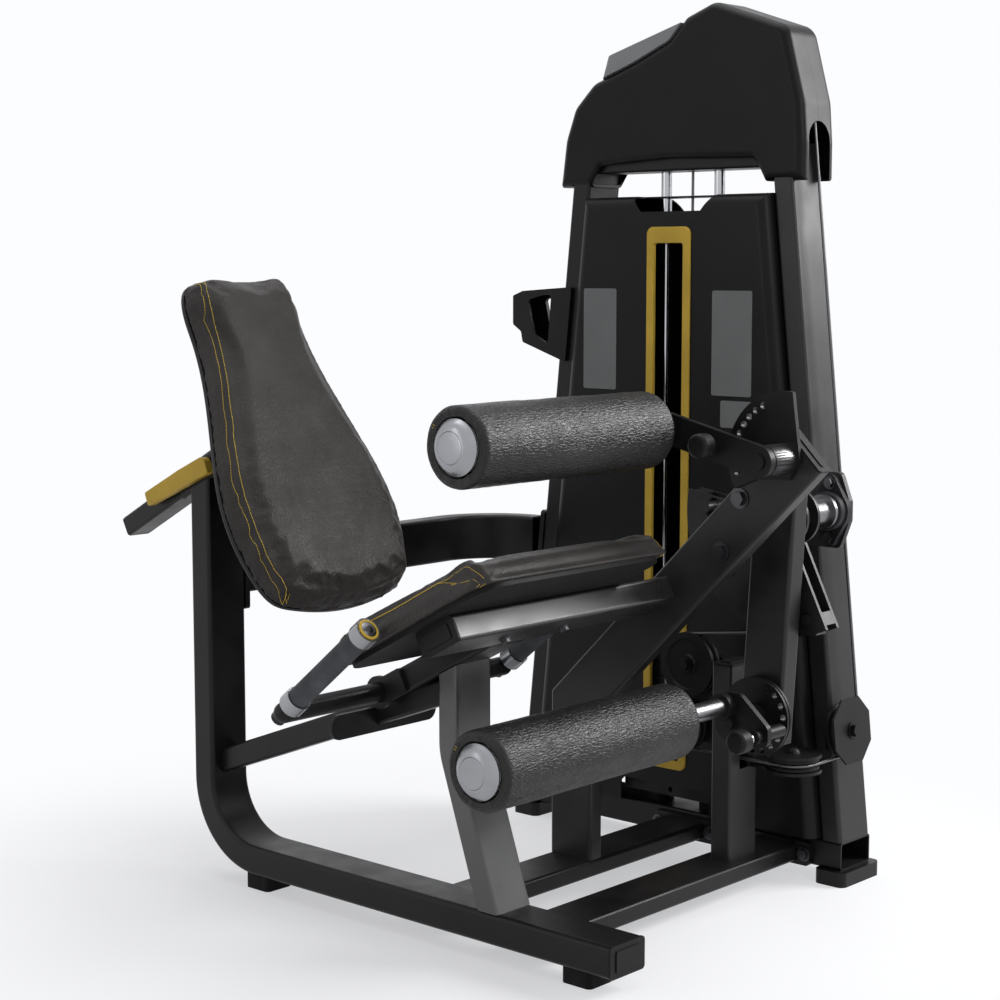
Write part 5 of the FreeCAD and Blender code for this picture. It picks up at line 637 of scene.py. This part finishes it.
def roller_profile(half, radius):
    """Section from the near pocket round the outside to the far bore: (x, r, gather)."""
    mouth = arc_profile(-half + 0.003, ROLLER_POCKET + 0.003, 0.003, 270, 180, 4)
    rows = [(-half + POCKET_DEPTH, ROLLER_POCKET, 0.2), (-half + 0.006, ROLLER_POCKET, 0.6)]
    rows += [(x, r, 1.0) for x, r in mouth]
    edge = radius - ROLLER_LIP
    for step in range(1, 7):
        t = step / 7
        r = mouth[-1][1] + (edge - mouth[-1][1]) * t
        rows.append((-half - 0.0012 * math.sin(math.pi * t) + 0.0012, r, 1.0 - 0.25 * t))
    for k, (x, r) in enumerate(arc_profile(-half + ROLLER_LIP, edge, ROLLER_LIP, 180, 90, 8)):
        rows.append((x, r, 0.75 * (1 - k / 8)))
    body_rows = 90
    inner = half - ROLLER_LIP
    for step in range(1, body_rows):
        rows.append((-inner + 2 * inner * step / body_rows, radius, 0.0))
    for k, (x, r) in enumerate(arc_profile(half - ROLLER_LIP, edge, ROLLER_LIP, 90, 0, 8)):
        rows.append((x, r, 0.6 * k / 8))
    for step in range(1, 10):
        t = step / 9
        rows.append((half, edge + (ROLLER_BORE - edge) * t, 0.6 * (1 - t)))
    return rows


def gathered(angle, seed):
    """Uneven pleats round the end of a cover, from -1 to 1."""
    turn = angle + 0.35 * noise.noise(Vector((math.cos(angle), math.sin(angle), seed)) * 1.5)
    fold = abs(math.sin(4.5 * turn))
    crease = abs(math.sin(11.5 * turn + 3 * noise.noise(Vector((seed, turn, 0)))))
    return 1.5 * fold ** 0.4 + 0.5 * crease ** 0.5 - 1


def roller(node, body):
    """Leather-covered foam roller, its cover gathered round the end cap."""
    low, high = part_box(node)
    centre = (low + high) / 2
    radius = (high.z - low.z) / 2 - 0.0008
    half = (high.x - low.x) / 2
    around = 180
    profile = roller_profile(half, radius)
    vertices, faces = [], []
    seed = Vector((centre.y * 7, centre.z * 5, 3.1))
    for x, r, gather in profile:
        soft = min(1.0, (r - ROLLER_BORE) / 0.03)
        for k in range(around):
            angle = math.tau * k / around
            pleat = 0.0017 * gather * gathered(angle, seed.x)
            spot = Vector((x * 9, math.cos(angle) * 1.3, math.sin(angle) * 1.3)) + seed
            fold = Vector((x * 26, math.cos(angle) * 2.2, math.sin(angle) * 2.2)) + seed
            puff = 0.0007 * noise.noise(spot * 1.7) * (1 - gather)
            wrinkle = -0.0006 * abs(noise.noise(fold * 1.6)) * (1 - gather)
            reach = r + (puff + wrinkle + 0.5 * pleat * (x < 0)) * soft
            vertices.append((centre.x + x - math.copysign(pleat, x) * (abs(x) > half - 0.012),
                             centre.y + reach * math.cos(angle),
                             centre.z + reach * math.sin(angle)))
    rows = len(profile)
    for row in range(rows):
        a, b = row * around, (row + 1) % rows * around
        for k in range(around):
            after = (k + 1) % around
            faces.append((a + k, a + after, b + after, b + k))
    mesh = bpy.data.meshes.new(node + "_cover")
    mesh.from_pydata(vertices, [], faces)
    mesh.update()
    item = new_object(node + "_cover", mesh)
    mesh.materials.append(ROLLER_LEATHER)
    for polygon in mesh.polygons:
        polygon.use_smooth = True
    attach(item, body)
    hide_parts(node)
    tree = surface_tree(item)
    for line, turn in enumerate((36, 31)):
        angle = math.radians(turn)
        out = Vector((0, math.cos(angle), math.sin(angle)))
        rays = []
        for step in range(9):
            r = ROLLER_POCKET + 0.004 + (radius - ROLLER_POCKET - 0.008) * step / 8
            rays.append((Vector((low.x - 0.05, centre.y, centre.z)) + out * r, Vector((1, 0, 0))))
        stitches(f"{node}_tack_{line}", body, seam_line(tree, rays))


def lathe(name, body, material, centre, profile, around=96):
    """A closed turned piece about an axis along x: the profile is (x, r)."""
    vertices, faces = [], []
    for x, r in profile:
        for k in range(around):
            angle = math.tau * k / around
            vertices.append((centre.x + x, centre.y + r * math.cos(angle),
                             centre.z + r * math.sin(angle)))
    for row in range(len(profile) - 1):
        for k in range(around):
            after = (k + 1) % around
            a, b = row * around, (row + 1) * around
            faces.append((a + k, a + after, b + after, b + k))
    faces.append(tuple(range(around - 1, -1, -1)))
    faces.append(tuple((len(profile) - 1) * around + k for k in range(around)))
    mesh = bpy.data.meshes.new(name)
    mesh.from_pydata(vertices, [], faces)
    mesh.materials.append(material)
    mesh.update()
    item = new_object(name, mesh)
    smooth(mesh, 30)
    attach(item, body)
    return item


def roller_cap(node, body):
    """Turned end cap: a flared cone with a flat disc, held by the shaft."""
    low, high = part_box(node)
    centre = (low + high) / 2
    centre.x = low.x + CAP_RECESS
    rim, disc, proud = 0.0405, 0.023, 0.0135
    profile = [(0.0004, rim), (-0.0016, rim), (-0.0026, rim - 0.001)]
    for step in range(1, 9):
        t = step / 8
        bulge = 0.0022 * math.sin(math.pi * t)
        profile.append((-0.0026 - (proud - 0.0026) * t - bulge,
                        rim - 0.001 + (disc + 0.0016 - rim + 0.001) * t))
    profile += [(-proud, disc + 0.0006), (-proud + 0.0007, disc), (-proud, disc - 0.0006),
                (-proud - 0.0004, disc - 0.004), (-proud - 0.0006, 0.004)]
    lathe(node + "_cap", body, CAP_METAL, centre, profile)


# ---------------------------------------------------------------- small trim
GRIP_END_RADIUS = 0.0215


def grip_ends():
    """Screwed end caps of the grips, each in a yellow ring."""
    low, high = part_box("handle_frame")
    turn = Vector((1, 0, 0)).rotation_difference(GRIP_REACH).to_matrix().to_4x4()
    points = [v.co for v in node_object("handle_frame").data.vertices]
    for k, side in enumerate((low.x + GRIP_TUBE_EDGE, high.x - GRIP_TUBE_EDGE)):
        base = Vector((side, GRIP_FOOT.y, GRIP_FOOT.z))
        offsets = [p - base for p in points]
        along = [o.dot(GRIP_REACH) for o in offsets
                 if (o - GRIP_REACH * o.dot(GRIP_REACH)).length < GRIP_END_RADIUS]
        tip = base + GRIP_REACH * (max(along) + 0.0003)
        pieces = (
            ("ring", YELLOW_PAINT, "yellow_paint",
             [(0, 0.0165), (0.0012, 0.0165), (0.0020, 0.0158), (0.0020, 0.0128), (0.0004, 0.0126)]),
            ("disc", CAP_METAL, "steel", [(0.0006, 0.0124), (0.0016, 0.0122), (0.0020, 0.0112)]),
            ("screw", ZINC, "steel", [(0.0021, 0.0062), (0.0031, 0.0058), (0.0036, 0.0044)]))
        for label, material, slot, profile in pieces:
            item = lathe(f"grip_{label}_{k}", "frame", material, Vector(), profile, 40)
            item.data.transform(Matrix.Translation(tip) @ turn)


def panel(name, body, material, low, high, round_by=0.004):
    """A thin bare plate square to x, with rounded corners."""
    outline = []
    for y, z, start in ((high.y, high.z, 0), (low.y, high.z, 90), (low.y, low.z, 180),
                        (high.y, low.z, 270)):
        y_mid = y - math.copysign(round_by, y - (low.y + high.y) / 2)
        z_mid = z - math.copysign(round_by, z - (low.z + high.z) / 2)
        for step in range(6):
            angle = math.radians(start + 18 * step)
            outline.append((y_mid + round_by * math.cos(angle), z_mid + round_by * math.sin(angle)))
    count = len(outline)
    vertices = [(low.x, y, z) for y, z in outline] + [(high.x, y, z) for y, z in outline]
    faces = [tuple(range(count - 1, -1, -1)), tuple(range(count, 2 * count))]
    for k in range(count):
        after = (k + 1) % count
        faces.append((k, after, count + after, count + k))
    mesh = bpy.data.meshes.new(name)
    mesh.from_pydata(vertices, [], faces)
    mesh.materials.append(material)
    item = new_object(name, mesh)
    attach(item, body)


def placards():
    """Bare plates beside the slot, where the machine carries its charts."""
    low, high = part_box("slot_frame")
    middle = (low.y + high.y) / 2
    tree = surface_tree(node_object("shroud_near"))
    for k, (y0, y1, z0, z1) in enumerate(((0.118, 0.194, 0.832, 1.014), (-0.179, -0.095, 0.830, 1.012),
                                          (-0.181, -0.115, 0.775, 0.822))):
        start = Vector((low.x - 0.2, middle + (y0 + y1) / 2, (z0 + z1) / 2))
        face = tree.ray_cast(start, Vector((1, 0, 0)))[0].x + 0.0002
        panel(f"placard_{k}", "frame", PLACARD,
              Vector((face - 0.0009, middle + y0, z0)), Vector((face, middle + y1, z1)))


# ---------------------------------------------------------------- stage
BACKDROP_WHITE = (0.975, 0.98, 1.0)
WORLD_LIGHT = 0.24


def area_light(name, place, target, size, power, colour=(1, 1, 1)):
    data = bpy.data.lights.new(name, "AREA")
    data.shape = "RECTANGLE"
    data.size, data.size_y = size
    data.energy = power
    data.color = colour
    item = bpy.data.objects.new(name, data)
    bpy.context.scene.collection.objects.link(item)
    item.location = place
    item.rotation_mode = "QUATERNION"
    item.rotation_quaternion = (Vector(target) - Vector(place)).to_track_quat("-Z", "Y")


def seen_directly(nodes, links):
    """1 for what the camera, metal and glass see, 0 for what lights the object."""
    path = nodes.new("ShaderNodeLightPath")
    result = path.outputs["Is Camera Ray"]
    for name in ("Is Glossy Ray", "Is Transmission Ray"):
        either = nodes.new("ShaderNodeMath")
        either.operation = "MAXIMUM"
        links.new(result, either.inputs[0])
        links.new(path.outputs[name], either.inputs[1])
        result = either.outputs[0]
    return result


def backdrop():
    """White studio: the world lights softly and shows white where it is seen."""
    world = bpy.data.worlds.new("studio")
    world.use_nodes = True
    nodes, links = world.node_tree.nodes, world.node_tree.links
    background = nodes["Background"]
    background.inputs["Color"].default_value = (*BACKDROP_WHITE, 1)
    strength = nodes.new("ShaderNodeMapRange")
    strength.inputs["To Min"].default_value = WORLD_LIGHT
    strength.inputs["To Max"].default_value = 1.0
    links.new(seen_directly(nodes, links), strength.inputs["Value"])
    links.new(strength.outputs["Result"], background.inputs["Strength"])
    bpy.context.scene.world = world


def floor():
    """Pale floor that keeps the object's shadow and fades into the backdrop."""
    size = 9.0
    mesh = bpy.data.meshes.new("floor")
    mesh.from_pydata([(-size, -size, 0), (size, -size, 0), (size, size, 0), (-size, size, 0)],
                     [], [(0, 1, 2, 3)])
    item = new_object("floor", mesh)
    paint = Material("floor_paint", (0.93, 0.93, 0.94), 0.6)
    paint.tint(paint.noise(0.6, 2), 0.01)
    paint.shader.inputs["Specular IOR Level"].default_value = 0.1
    nodes, links = paint.nodes, paint.links
    length = nodes.new("ShaderNodeVectorMath")
    length.operation = "LENGTH"
    links.new(paint.place, length.inputs[0])
    fade = nodes.new("ShaderNodeMapRange")
    fade.interpolation_type = "SMOOTHSTEP"
    fade.inputs["From Min"].default_value = 0.3
    fade.inputs["From Max"].default_value = 1.3
    fade.inputs["To Min"].default_value = 0.5
    links.new(length.outputs["Value"], fade.inputs["Value"])
    share = paint.math("MULTIPLY", fade.outputs["Result"], seen_directly(nodes, links))
    glow = nodes.new("ShaderNodeEmission")
    glow.inputs["Color"].default_value = (*BACKDROP_WHITE, 1)
    mix = nodes.new("ShaderNodeMixShader")
    links.new(share, mix.inputs["Fac"])
    links.new(paint.shader.outputs[0], mix.inputs[1])
    links.new(glow.outputs[0], mix.inputs[2])
    links.new(mix.outputs[0], nodes["Material Output"].inputs["Surface"])
    mesh.materials.append(paint.data)


def studio():
    target = (0.0, 0.0, 0.75)
    area_light("key", (-1.0, -3.8, 2.4), target, (1.2, 1.2), 24)
    area_light("right_box", (2.3, -2.1, 2.2), target, (1.6, 1.6), 120)
    area_light("side_strip", (-3.2, 1.2, 1.7), target, (0.6, 2.4), 9)
    area_light("top", (0.2, 0.2, 4.0), (0.2, 0.1, 0.5), (3.0, 3.0), 56)
    backdrop()
    floor()


def camera():
    """Stands ahead of the seat's near side and looks slightly down."""
    heading = math.radians(42.0)
    pitch = math.radians(6.45)
    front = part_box("main_frame_tube")[0].y
    place = Vector((MIDDLE_X - 2.269, front - 1.797, 1.050))
    look = Vector((math.cos(heading) * math.cos(pitch), math.sin(heading) * math.cos(pitch),
                   -math.sin(pitch)))
    data = bpy.data.cameras.new("camera")
    data.sensor_width = 36.0
    data.lens = 73.73
    item = bpy.data.objects.new("camera", data)
    bpy.context.scene.collection.objects.link(item)
    item.location = place
    item.rotation_mode = "QUATERNION"
    item.rotation_quaternion = look.to_track_quat("-Z", "Y")
    bpy.context.scene.camera = item


def colour_management():
    bpy.context.scene.view_settings.view_transform = "Standard"


dress_cad_nodes()
seat_pad()
back_pad()
roller("ankle_roller", "ankle_pad")
roller("thigh_roller", "thigh_pad")
roller_cap("ankle_roller", "crank")
roller_cap("thigh_roller", "thigh")
grip_ends()
placards()
studio()
camera()
colour_management()
